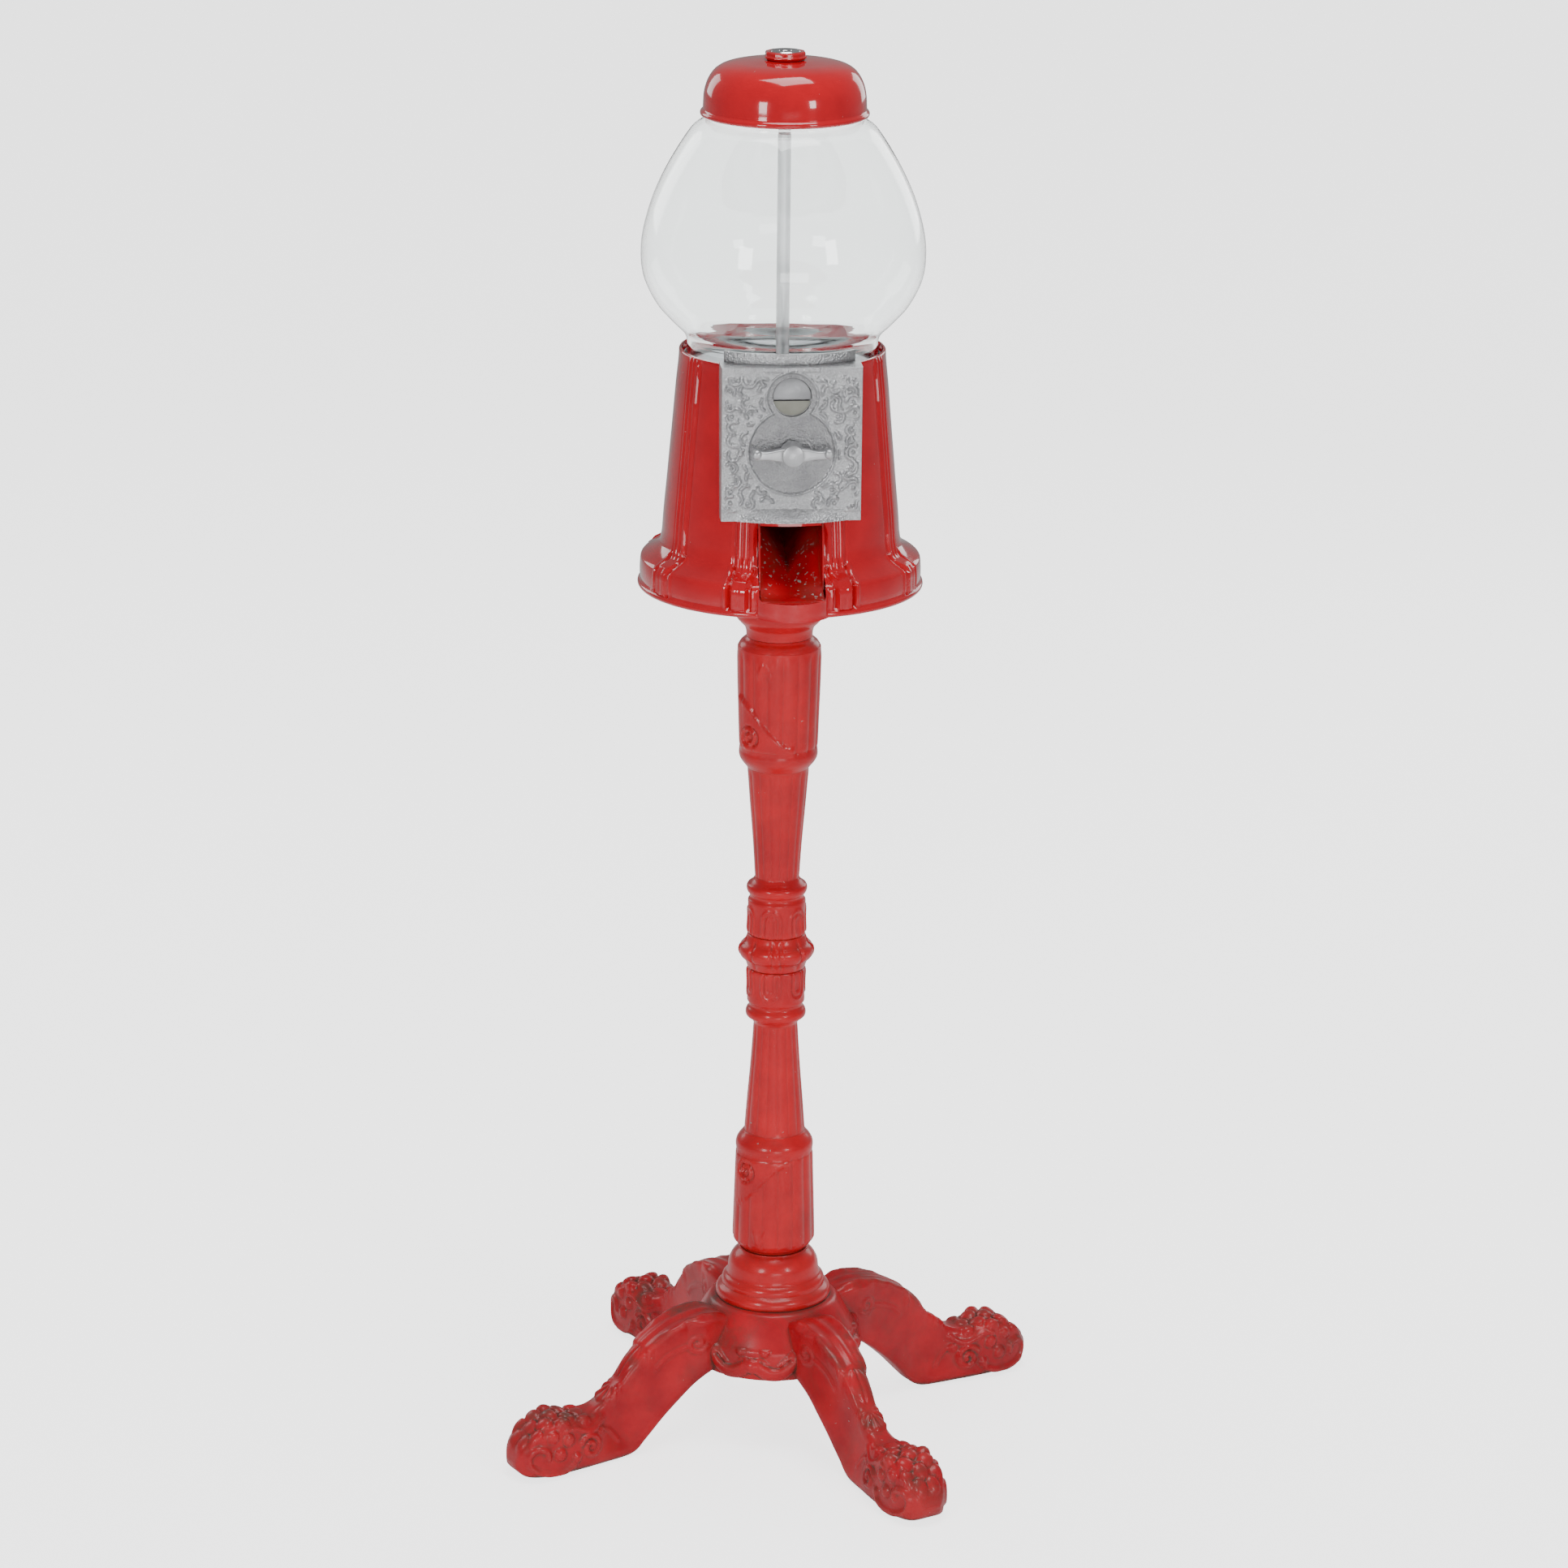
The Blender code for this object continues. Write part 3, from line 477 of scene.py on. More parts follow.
def clear_glass(name, tint):
    """Moulded glass with a faint wave and a few dull patches of handling."""
    material, tree, shader, where = start_material(name)
    shader.inputs["Base Color"].default_value = tint
    shader.inputs["Transmission Weight"].default_value = 1.0
    shader.inputs["IOR"].default_value = 1.47
    haze = curve_between(tree, noise(tree, where, 24.0, 6.0, 0.6), 0.52, 0.8)
    tree.links.new(maths(tree, "MULTIPLY", haze, 0.07), shader.inputs["Roughness"])
    bumped(tree, shader, noise(tree, where, 18.0, 2.0), 0.06, 0.002)
    return material


class VendorSettings(bpy.types.PropertyGroup):
    body_colour: bpy.props.FloatVectorProperty(
        name="Body colour", description="Gloss enamel of the lid and body", subtype="COLOR",
        size=4, min=0.0, max=1.0, default=(0.64, 0.002, 0.012, 1.0))
    stand_colour: bpy.props.FloatVectorProperty(
        name="Stand colour", description="Older enamel of the column", subtype="COLOR",
        size=4, min=0.0, max=1.0, default=(0.72, 0.006, 0.014, 1.0))
    leg_colour: bpy.props.FloatVectorProperty(
        name="Leg colour", description="Worn enamel of the legs", subtype="COLOR",
        size=4, min=0.0, max=1.0, default=(0.6, 0.01, 0.02, 1.0))
    metal_colour: bpy.props.FloatVectorProperty(
        name="Cast metal colour", description="Coin plate, handle and hopper", subtype="COLOR",
        size=4, min=0.0, max=1.0, default=(0.66, 0.665, 0.68, 1.0))
    glass_tint: bpy.props.FloatVectorProperty(
        name="Glass tint", description="Colour of the globe's glass", subtype="COLOR",
        size=4, min=0.0, max=1.0, default=(0.93, 0.955, 0.95, 1.0))
    rib_height: bpy.props.FloatProperty(
        name="Rib height", description="How far the body's flutes stand out, in millimetres",
        min=0.2, max=3.0, default=1.3)
    flute_depth: bpy.props.FloatProperty(
        name="Column flute depth", description="Depth of the column's flutes, in millimetres",
        min=0.0, max=2.0, default=0.6)
    relief_height: bpy.props.FloatProperty(
        name="Scroll relief", description="Height of the coin plate's scrolls, in millimetres",
        min=0.0, max=2.5, default=1.8)
    ring_segments: bpy.props.IntProperty(
        name="Ring segments", description="Sides of the round pieces", min=32, max=256,
        default=128)


def settings():
    return bpy.context.scene.coin_vendor


MATERIALS = {}


def finishes():
    """The object's finishes, made once."""
    if MATERIALS:
        return MATERIALS
    own = settings()
    body = tuple(own.body_colour)
    stand = tuple(own.stand_colour)
    legs = tuple(own.leg_colour)
    metal = tuple(own.metal_colour)
    MATERIALS.update({
        "gloss_red": paint("gloss_red", body, tuple(0.82 * c for c in body[:3]) + (1,), 0.15, 1.0,
                           0.0, 0.8, 0.0, 0.748),
        "column_red": paint("column_red", stand, (0.52, 0.005, 0.012, 1), 0.34, 0.4, 0.35, 0.6, 0.35),
        "leg_red": paint("leg_red", legs, (0.38, 0.006, 0.014, 1), 0.4, 0.3, 0.85, 0.9, 0.6),
        "plate_metal": plate_metal("plate_metal", metal),
        "smooth_cast": sandy_metal("smooth_cast", metal, 500.0, 0.12, 0.4, 0.9),
        "pan_metal": sandy_metal("pan_metal", (0.45, 0.475, 0.5, 1), 400.0, 0.08, 0.34, 0.8),
        "zinc": drawn_metal("zinc", (0.5, 0.5, 0.51, 1), 0.36),
        "chrome": drawn_metal("chrome", (0.78, 0.78, 0.8, 1), 0.14),
        "brass": drawn_metal("brass", (0.62, 0.45, 0.18, 1), 0.3),
        "chute_red": paint("chute_red", body, tuple(0.5 * c for c in body[:3]) + (1,), 0.34, 0.5,
                           0.5, 1.0, 0.0, 0.64),
        "gate_bright": sandy_metal("gate_bright", (0.42, 0.425, 0.44, 1), 500.0, 0.1, 0.4, 0.8),
        "gate_metal": sandy_metal("gate_metal", (0.3, 0.3, 0.255, 1), 260.0, 0.35, 0.45, 0.6),
        "glass": clear_glass("glass", tuple(own.glass_tint)),
    })
    return MATERIALS


def dress(node, material):
    """Give a CAD node that stays its detailed material."""
    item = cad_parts[node]
    item.data.materials.clear()
    item.data.materials.append(finishes()[material])


# ---------------------------------------------------------------- lid

class AddLid(bpy.types.Operator):
    """Model the domed lid with its rolled lip, lock collar and lock"""
    bl_idname = "object.vendor_lid_add"
    bl_label = "Lid and lock"

    def execute(self, context):
        base = low("lid").z
        crown = high("lid").z - base
        dome = smooth([(16, crown), (25.5, crown - 0.8), (33, crown - 1.6), (39.6, crown - 3.2),
                       (43.6, crown - 5.2), (46.6, crown - 7.8), (49.4, crown - 12),
                       (51.4, crown - 17), (52.5, crown - 22.5), (52.9, 6.5), (53.0, 4.9)], 4)
        lip = arc((52.6, 2.15), 2.15, 62, -150, 12)
        inside = smooth([(51.0, 1.8), (50.8, 12), (49.0, 21.5), (44.2, 28.3), (39.1, 31.7),
                         (20, 34.2), (4.9, 34.5)], 3)
        outline = [(4.9, crown)] + dome + lip + inside + [(4.9, crown)]
        outline = [(radius, height + base) for radius, height in outline]
        lid = lathe("lid_shell", outline, settings().ring_segments)
        finish(lid, finishes()["gloss_red"], "lid", ("lid",), 50)
        foot = low("lock_collar").z
        ring = [(10.35, 0), (12.9, 0), (13.1, 0.9), (14.2, 1.3), (14.2, 2.1), (13.2, 2.6),
                (13.5, 4.2), (12.9, 5.2), (11.4, 5.25), (10.35, 4.9), (10.35, 0)]
        collar = lathe("lock_collar_ring", [(r, z + foot) for r, z in ring], 10)
        round_edges(collar, 0.35, 3, 20)
        finish(collar, finishes()["gloss_red"], "lid", ("lock_collar",), 35)
        top = high("lock_cylinder").z
        face = [(9.9, foot), (9.9, top - 0.7), (9.4, top - 0.15), (8.4, top), (7.6, top - 0.35),
                (7.2, top - 0.5), (4.2, top - 0.4), (3.9, top - 0.9), (0.6, top - 0.9)]
        lock = lathe("lock_face", face, 64, capped=True)
        cut(lock, box_piece("key_slot", (-0.6, -2.8, top - 4), (0.6, 2.8, top + 1)))
        finish(lock, finishes()["chrome"], "lock", ("lock_cylinder",), 35)
        return {"FINISHED"}


# ---------------------------------------------------------------- globe and hopper

class AddGlobe(bpy.types.Operator):
    """Model the thick glass globe with its neck and mouth"""
    bl_idname = "object.vendor_globe_add"
    bl_label = "Glass globe"

    def execute(self, context):
        base = low("globe").z
        belly = smooth([(NECK_RADIUS, 13.4), (64.6, 19.2), (73.7, 28.4), (83.1, 39.4), (90.7, 55.4),
                        (92.6, 71.4), (90.7, 87.4), (84.5, 108.4), (74.6, 129.4), (61.4, 150.4),
                        (54.0, 156.8), (50.0, 159.0)], 6)
        outside = [(NECK_RADIUS, 0.6), (NECK_RADIUS, 6.0)] + belly
        inside = []
        for index, (radius, height) in enumerate(outside):
            ahead = Vector(outside[min(index + 1, len(outside) - 1)])
            behind = Vector(outside[max(index - 1, 0)])
            along = (ahead - behind).normalized()
            inside.append((radius - along.y * GLASS_WALL, height + along.x * GLASS_WALL))
        foot = [(NECK_RADIUS - 0.8, 0.0), (NECK_RADIUS - 1.8, 0.0)]
        outline = outside + inside[::-1] + foot + [outside[0]]
        outline = [(radius, height + base) for radius, height in outline]
        globe = lathe("glass_globe", outline, settings().ring_segments)
        finish(globe, finishes()["glass"], MACHINE, ("globe",), 80)
        return {"FINISHED"}


class AddHopper(bpy.types.Operator):
    """Model the hopper pan with its raised rim, and the centre rod"""
    bl_idname = "object.vendor_hopper_add"
    bl_label = "Hopper and centre rod"

    def execute(self, context):
        base = low("hopper_pan").z
        rim = high("hopper_pan").z - base
        outline = [(63.6, rim - 0.5), (63.9, rim), (64.7, rim), (65.0, rim - 0.5), (65.0, 39.7),
                   (56.4, 39.7), (45.4, 31.2), (45.0, 30.6), (45.0, 0), (34, 0), (34, 4.4), (9, 4.4),
                   (9, 0), (4.75, 0), (4.75, 6.4), (35.4, 6.4), (35.4, 1.6), (43.2, 1.6),
                   (43.2, 31.8), (43.6, 32.8), (56.0, 41.4), (57.0, 41.7), (63.6, 41.7),
                   (63.6, rim - 0.5)]
        pan = lathe("hopper_shell", [(r, z + base) for r, z in outline], settings().ring_segments)
        cutter = slab("drop_cutter", arc((0, 23.0), 9.5, 0, 345, 23), base - 2, base + 8)
        slot = box_piece("gear_cutter", (-9.5, -48, base - 3), (9.5, -36.1, base + 6.2))
        cut(pan, cutter, slot)
        finish(pan, finishes()["pan_metal"], MACHINE, ("hopper_pan",), 35)
        foot, head = low("centre_rod").z, high("centre_rod").z
        shank = [(ROD_RADIUS, foot + 0.6), (ROD_RADIUS, head - 46)]
        thread = []
        height = head - 45.6
        while height < head - 1:
            thread += [(3.85, height), (4.2, height + 0.5)]
            height += 1.0
        outline = [(3.8, foot)] + shank + thread + [(3.4, head)]
        rod = lathe("centre_rod_bar", outline, 40, capped=True)
        finish(rod, finishes()["zinc"], MACHINE, ("centre_rod",), 40)
        dress("ball_wheel", "smooth_cast")
        dress("pocket_cover", "smooth_cast")
        return {"FINISHED"}


# ---------------------------------------------------------------- body

def body_outline(base, top):
    """The body's outer line, from the rim down to the flange's underside."""
    wall = smooth([(67.5, top - 0.8), (67.9, top - 8), (69.5, top - 23), (71.4, top - 45),
                   (73.4, top - 67), (75.3, top - 88), (77.2, top - 108), (78.2, top - 122)], 4)
    cove = smooth([(78.9, base + 33), (79.6, base + 30.4), (81.4, base + 27.8), (84.2, base + 25.4),
                   (87.4, base + 23.4), (90.2, base + 21.8)], 4)
    corner = smooth([(90.8, base + 21.4), (91.9, base + 20.3), (92.4, base + 18.6),
                     (92.8, base + 13), (92.8, base + 8)], 3)
    bead = arc((92.2, base + 2.5), 2.1, 66, -66, 8)
    return [(66.2, top), (67.1, top - 0.2)] + wall + cove + corner + [(92.4, base + 6)] + bead


def body_inside(base, top):
    """The body's inner line, from the flange's underside back up to the rim."""
    return [(90.0, base), (85.4, base), (85.4, base + 11), (84.0, base + 15.5), (80.2, base + 20.5),
            (77, base + 25.6), (75.6, base + 32), (74.4, top - 108), (70.6, top - 67),
            (66.8, top - 23), (65.6, top - 11), (65.6, top), (66.2, top)]


class AddBody(bpy.types.Operator):
    """Model the bell-shaped body with its rib clusters, coved flange and chute lip"""
    bl_idname = "object.vendor_body_add"
    bl_label = "Body casting"

    def execute(self, context):
        base, top = low("body").z, high("body").z
        height = settings().rib_height
        outside_line = body_outline(base, top)
        shell = lathe("body_shell", outside_line + body_inside(base, top), 600)
        levels = np.array([z for _, z in reversed(outside_line)])
        reach = np.array([r for r, _ in reversed(outside_line)])

        def relief(radius, angle, z):
            outside = (radius > np.interp(z, levels, reach) - 1.4) & (z > base + 0.1)
            total = np.zeros_like(radius)
            upright = ramp(z, base + 26, base + 31) * ramp(z, top, top - 4)
            flange = ramp(z, base + 23.5, base + 21.5) * ramp(z, base + 4.8, base + 6.4)
            slope = ramp(z, base + 32, base + 29) * ramp(z, base + 20, base + 23)
            body_reach = np.interp(z, levels, reach)
            for centre in RIB_ANGLES:
                along = np.radians(turn_away(angle, centre - 90.0)) * radius
                for place in (-4.2, 0.0, 4.2):
                    flute = np.sqrt(np.clip(1.0 - ((along - place) / 1.75) ** 2, 0.0, 1.0))
                    total += height * flute * upright
                total -= 0.5 * bump(np.abs(along) - 7.4, 0.9) * upright
                block = ramp(np.abs(along), 5.4, 4.7) * ramp(z, base + 27.5, base + 22.5)
                block *= ramp(z, base + 4.8, base + 6.0)
                shoulder = 94.1 - 5.0 * ramp(z, base + 17, base + 27)
                total += block * np.maximum(shoulder - body_reach, 0.0)
                total -= 0.5 * block * bump(along, 0.5) * flange
                total -= 2.3 * bump(np.abs(along) - 7.0, 0.95) * np.maximum(flange, 0.8 * slope)
                total += 0.9 * bump(np.abs(along) - 9.6, 1.1) * np.maximum(flange, slope)
            across = np.radians(turn_away(angle, -90.0)) * radius
            lip = ramp(np.abs(across), 24.4, 22.4)
            below = ramp(z, base + 20.0, base + 14.5)
            total = total * (1.0 - lip * ramp(z, base + 30, base + 20))
            crest = LIP_CENTRE + np.sqrt(np.maximum(LIP_RADIUS ** 2 - across ** 2, 0.0)) - body_reach
            total += lip * below * np.maximum(crest, 0.0)
            total += 1.1 * bump(np.abs(across) - 23.4, 1.3) * upright
            return np.where(outside, total, 0.0)

        emboss(shell, relief)
        doorway = box_piece("doorway", (-CHUTE_HALF_WIDTH, -120, base + SILL_RISE),
                            (CHUTE_HALF_WIDTH, -60, base + HEAD_RISE))
        round_edges(doorway, 2.6, 5)
        mechanism = box_piece("mechanism_gap", (-40.3, -110, base + 63.6), (40.3, -45, top + 14))
        cut(shell, doorway, mechanism)
        finish(shell, finishes()["gloss_red"], MACHINE, ("body",), 32)
        return {"FINISHED"}


class AddChute(bpy.types.Operator):
    """Model the V-floored chute behind the doorway"""
    bl_idname = "object.vendor_chute_add"
    bl_label = "Chute"

    def execute(self, context):
        front, back = low("chute").y - 7.0, high("chute").y - 1.0
        sill = low("body").z + SILL_RISE
        foot = low("chute").z
        deselect()
        columns, rows = 40, 30
        bpy.ops.mesh.primitive_grid_add(x_subdivisions=columns, y_subdivisions=rows)
        trough = bpy.context.object
        trough.name = "chute_trough"
        for index, vertex in enumerate(trough.data.vertices):
            across = (index % (columns + 1)) / columns * 2 - 1
            deep = (index // (columns + 1)) / rows
            y = front + (back - front) * deep
            x = max(-20.6, min(20.6, 24.5 * across))
            slope = 0.12 + 1.15 * float(ramp(np.array(deep), 0.0, 0.5))
            rise = max(0.0, deep - 0.1) * (back - front)
            z = sill + 0.1 + (slope - 0.11 * (deep < 0.1)) * math.sqrt(x * x + 4.0) + 0.3 * rise
            wall = sill + (foot + 44.0 - sill) * float(ramp(np.array(y), -84.0, -77.0))
            z += max(0.0, abs(across) * 24.5 - 20.6) * max(0.0, wall - z) / 3.9
            vertex.co = Vector((x, y, z + 14.0 * float(ramp(np.array(deep), 0.82, 1.0)))) * MM
        apply_modifier(trough, "SOLIDIFY", thickness=1.2 * MM, offset=0.0)
        finish(trough, finishes()["chute_red"], MACHINE, ("chute",), 40)
        return {"FINISHED"}


# ---------------------------------------------------------------- coin plate and handle

def plate_scrolls():
    """Short C and S strokes and dots scattered over the plate, as (points, width, height)."""
    chance = np.random.default_rng(11)
    strokes = []
    for side in (-1, 1):
        for row in range(11):
            for column in range(3):
                x = side * (17.5 + 10.4 * column + chance.uniform(-2.0, 2.0))
                z = 669.5 + 8.2 * row + chance.uniform(-2.0, 2.0)
                size = chance.uniform(2.8, 4.6)
                start = chance.uniform(0, 360)
                bow = arc((x, z), size, start, start + chance.uniform(130, 230), 9)
                if chance.random() < 0.4:
                    end = bow[-1]
                    turn = start + 180
                    centre = (2 * end[0] - x, 2 * end[1] - z)
                    bow += arc(centre, size, turn + 180, turn + 60, 6)[1:]
                strokes.append((bow, chance.uniform(0.95, 1.3), chance.uniform(0.75, 1.0)))
                if chance.random() < 0.6:
                    strokes.append(([(x, z), (x + 0.1, z)], 1.1, 0.9))
    return strokes


def plate_field(x, z):
    """Signed distance outside the plate's smooth pear-shaped field."""
    return np.minimum(np.hypot(x, z - AXLE_HEIGHT) - AXLE_FIELD_RADIUS,
                      np.hypot(x, z - WINDOW_HEIGHT) - WINDOW_FIELD_RADIUS)


def plate_relief(x, z):
    """Height of the coin plate's face: strokes, a raised border and the smooth field."""
    field = plate_field(x, z)
    strokes = np.zeros_like(x)
    for path, width, tall in plate_scrolls():
        strokes = np.maximum(strokes, tall * bump(distance_to(path, x, z), width))
    outside = ramp(field, 1.4, 3.0)
    edge = ramp(44.2 - np.abs(x), 0.0, 2.5) * ramp(z, 663, 667) * ramp(z, 753.5, 751)
    total = outside * edge * settings().relief_height * strokes
    total += 0.9 * bump(field, 0.8)
    total -= 0.35 * ramp(field, -0.6, -1.6)
    total += 0.8 * ramp(z, 754.6, 755.6) * ramp(np.abs(x), 18.5, 17.0)
    total += 0.5 * bump(z - 664.0, 0.7)
    return total


class AddCoinPlate(bpy.types.Operator):
    """Model the coin plate with its scroll relief, window, hood and rim, and the window's gates"""
    bl_idname = "object.vendor_plate_add"
    bl_label = "Coin plate"

    def execute(self, context):
        columns, rows = 200, 220
        deselect()
        bpy.ops.mesh.primitive_grid_add(x_subdivisions=columns, y_subdivisions=rows, size=1)
        plate = bpy.context.object
        plate.name = "coin_plate"
        points = mesh_points(plate)
        x = points[:, 0] * 2 * PLATE_HALF_WIDTH
        z = PLATE_BOTTOM + (points[:, 1] + 0.5) * (PLATE_TOP - PLATE_BOTTOM)
        y = PLATE_FACE - plate_relief(x, z)
        hood = np.sqrt(np.maximum(82.3 ** 2 - x * x, 0.0)) + PLATE_FACE
        y -= np.maximum(hood, 0.0) * ramp(z, 666.5, PLATE_BOTTOM) ** 1.3
        place_points(plate, np.stack([x, y, z], axis=1))
        bpy.ops.object.mode_set(mode="EDIT")
        bpy.ops.mesh.select_all(action="DESELECT")
        bpy.ops.mesh.select_non_manifold()
        bpy.ops.mesh.extrude_edges_move(TRANSFORM_OT_translate={"value": (0, 0.0012, 0)})
        bpy.ops.transform.resize(value=(1.008, 1, 1.0), center_override=(0, 0, 0))
        bpy.ops.mesh.extrude_edges_move(TRANSFORM_OT_translate={"value": (0, 0.021, 0)})
        bpy.ops.mesh.edge_face_add()
        close_up()
        opening = arc((0, WINDOW_HEIGHT), WINDOW_RADIUS, 0, 354, 59)
        window = slab("window_cutter", opening, -90, -40, "Y")
        bore = slab("bore_cutter", arc((0, AXLE_HEIGHT), 4.6, 0, 345, 23), -90, -40, "Y")
        pocket = box_piece("back_cutter", (-40.5, -71.4, 661), (40.5, -30, 755.5))
        cut(plate, pocket, window, bore)
        spread = math.degrees(math.asin(42.5 / 67.0))
        band = arc((0, 0), 67.2, -90 - spread, -90 + spread, 40)
        band += arc((0, 0), 65.4, -90 + spread, -90 - spread, 40)
        upright = slab("rim_band", band, 756.5, high("front_plate").z)
        round_edges(upright, 0.5, 2)
        shelf = arc((0, 0), 65.6, -90 + spread, -90 - spread, 40)
        half = PLATE_HALF_WIDTH
        corners = [(-half, -73.5), (half, -73.5), (half, -52)]
        top_wall = slab("top_wall", corners + shelf + [(-half, -52)], 756.4, PLATE_TOP)
        lobe = arc((0, WINDOW_HEIGHT), 12.6, 187, -7, 40)
        upper_gate = slab("gate_upper", lobe, -72.5, -71.25, "Y")
        round_edges(upper_gate, 0.35, 2)
        finish(upper_gate, finishes()["gate_bright"])
        lobe = arc((0, WINDOW_HEIGHT), 12.2, -13, -167, 40)
        lower_gate = slab("gate_lower", lobe, -71.6, -71.2, "Y")
        finish(lower_gate, finishes()["gate_metal"])
        whole = join("coin_plate", [plate, upright, top_wall])
        finish(whole, finishes()["plate_metal"], MACHINE, ("front_plate",), 38)
        return {"FINISHED"}


class AddHandle(bpy.types.Operator):
    """Model the turn handle, and give the small parts that stay their metal finishes"""
    bl_idname = "object.vendor_handle_add"
    bl_label = "Handle"

    def execute(self, context):
        front, back = low("handle").y, high("handle").y
        depth = back - front
        hub = lathe("handle_hub", [(6.2, 0), (6.9, 0.5), (6.9, depth - 3), (7.6, depth - 2),
                                   (7.6, depth)], 64, capped=True)
        hub.data.transform(Matrix.Rotation(math.radians(-90), 4, "X"))
        hub.data.transform(Matrix.Translation(Vector((0, front, AXLE_HEIGHT)) * MM))
        wing = smooth([(3, 4.6), (8, 3.9), (14, 2.7), (19, 2.3), (22, 3.2), (24.5, 3.6), (26.0, 2.6),
                       (26.4, 0.4), (25.6, -1.9), (23, -2.8), (19, -2.9), (14, -3.3), (8, -4.3),
                       (3, -5.0)], 3)
        wings = []
        for side in (1, -1):
            outline = [(side * x, z + AXLE_HEIGHT) for x, z in wing]
            piece = slab("wing", outline, -85.2, -79.2, "Y")
            round_edges(piece, 1.5, 4, 25)
            wings.append(piece)
            deselect()
            middle = Vector((side * 23.2, -84.6, AXLE_HEIGHT + 0.7)) * MM
            bpy.ops.mesh.primitive_uv_sphere_add(segments=32, ring_count=18, radius=3.1 * MM,
                                                 location=middle)
            knob = bpy.context.object
            bpy.ops.object.mode_set(mode="EDIT")
            bpy.ops.transform.resize(value=(1.0, 0.8, 1.0))
            bpy.ops.object.mode_set(mode="OBJECT")
            bpy.ops.object.transform_apply(location=True)
            wings.append(knob)
        handle = join("turn_handle", [hub] + wings)
        finish(handle, finishes()["smooth_cast"], "handle", ("handle",), 40)
        for node in ("coin_wheel", "axle", "axle_collar", "pawl", "pawl_pin", "pawl_spring",
                     "mechanism_plate", "clamp_bar", "cross_strap", "base_plate", "tie_rod",
                     "centre_rod_nut", "strap_screw_left", "strap_screw_right"):
            dress(node, "zinc")
        for node in ("axle_bush", "drive_pinion"):
            dress(node, "brass")
        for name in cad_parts:
            if "screw_" in name or "bolt" in name or "tie_rod_" in name:
                dress(name, "zinc")
        return {"FINISHED"}


# ---------------------------------------------------------------- column

def column_line(end):
    """Half of the column as (distance from the middle, radius)."""
    collar = [(12.3, 18.4), (13.4, 19.4), (24, 19.0), (34.5, 19.5), (36.5, 18.9), (38, 18.2),
              (39.6, 18.4)]
    bead = [(41.3, 19.6), (43, 20.3), (45, 20.4), (46.8, 19.6), (48.6, 17.2), (51, 15.3)]
    shaft = [(55, 14.9), (80, 16.5), (105, 18.6), (126.5, 20.3)]
    shoulder = [(129.5, 21.2), (133, 24.0), (136, 25.8), (139, 26.4), (142, 26.1), (144.5, 25.7),
                (147, 26.0), (170, 26.7)]
    foot = [(end - 10, 27.7), (end - 6.5, 27.4), (end - 3.5, 25.6), (end - 1.5, 23.2), (end, 22)]
    block = [(170, 26.7), (185, 27.2)]
    return smooth(collar + bead + shaft + shoulder, 4)[:-1] + smooth(block + foot, 7)


def finer(points, step):
    """Extra points along long straight runs, so that a relief has something to push."""
    result = [points[0]]
    for (ax, ay), (bx, by) in zip(points, points[1:]):
        pieces = max(1, int(math.hypot(bx - ax, by - ay) / step))
        for piece in range(1, pieces + 1):
            t = piece / pieces
            result.append((ax + (bx - ax) * t, ay + (by - ay) * t))
    return result


def column_relief(radius, angle, z):
    """Flutes, arches, diagonal drape and scroll on either half of the column."""
    away = np.abs(z - COLUMN_MIDDLE)
    facing = turn_away(angle, FACING)
    depth = settings().flute_depth
    shaft = ramp(away, 50, 56) * ramp(away, 128.5, 125.5)
    block = ramp(away, 141, 146) * ramp(away, 212, 205)
    wave = np.abs(np.sin(np.radians(8.0 * (facing - 6.0))))
    flutes = depth * (2.0 * wave ** 0.6 - 1.2)
    total = flutes * shaft * 0.6
    half_turn = turn_away(facing, 12.0, 180.0) + 12.0
    line = 179.5 - 33.0 * ramp(half_turn, -72, 24)
    drape = ramp(half_turn, -76, -70) * ramp(half_turn, 27, 20)
    under = ramp(line - away, -0.9, 0.9)
    rolled = bump(line - away, 1.1)
    total += block * flutes * (1.0 - 0.8 * drape * under) * (1.0 - drape * rolled)
    total += block * drape * (1.2 * under + 1.0 * rolled)
    along = np.radians(turn_away(half_turn, -46.0, 180.0)) * radius
    up = away - 153.5
    reach = np.hypot(along, up)
    whorl = np.cos(2 * math.pi * (reach / 4.6) - np.arctan2(up, along))
    total += block * 1.15 * whorl * ramp(reach, 9.0, 7.6)
    for offset, lean in ((-26.0, 0.35), (-16.0, -0.35)):
        leaf_x = np.radians(turn_away(half_turn, offset, 180.0)) * radius
        leaf_y = away - 200.5
        leaf = np.clip(1 - ((leaf_x - lean * leaf_y) / 2.0) ** 2 - (leaf_y / 5.5) ** 2, 0, 1)
        total += 0.9 * np.sqrt(leaf)
    collar = ramp(away, 12.9, 13.6) * ramp(away, 36.2, 34.5)
    arch_x = np.abs(np.radians(turn_away(facing, -11.5, 60.0)) * radius)
    for half, crown in ((6.4, 31.5), (2.9, 27.5)):
        spring = crown - half
        distance = np.where(away < spring, arch_x - half, np.hypot(arch_x, away - spring) - half)
        total += collar * 1.0 * bump(distance, 0.9)
    return np.where(radius > 9.0, total, 0.0)


def knuckle_relief(radius, angle, z):
    """Rounded lobes round the knuckle, parted by single and paired grooves."""
    facing = turn_away(angle, FACING)
    outer = ramp(radius, 19.0, 22.0)
    single = np.radians(turn_away(facing, 45.0, 90.0)) * radius
    paired = np.abs(np.radians(turn_away(facing, 0.0, 90.0)) * radius)
    total = -1.5 * bump(single, 1.4) - 1.2 * bump(paired - 3.3, 1.0)
    total += 0.5 * bump(paired, 1.4)
    return total * outer


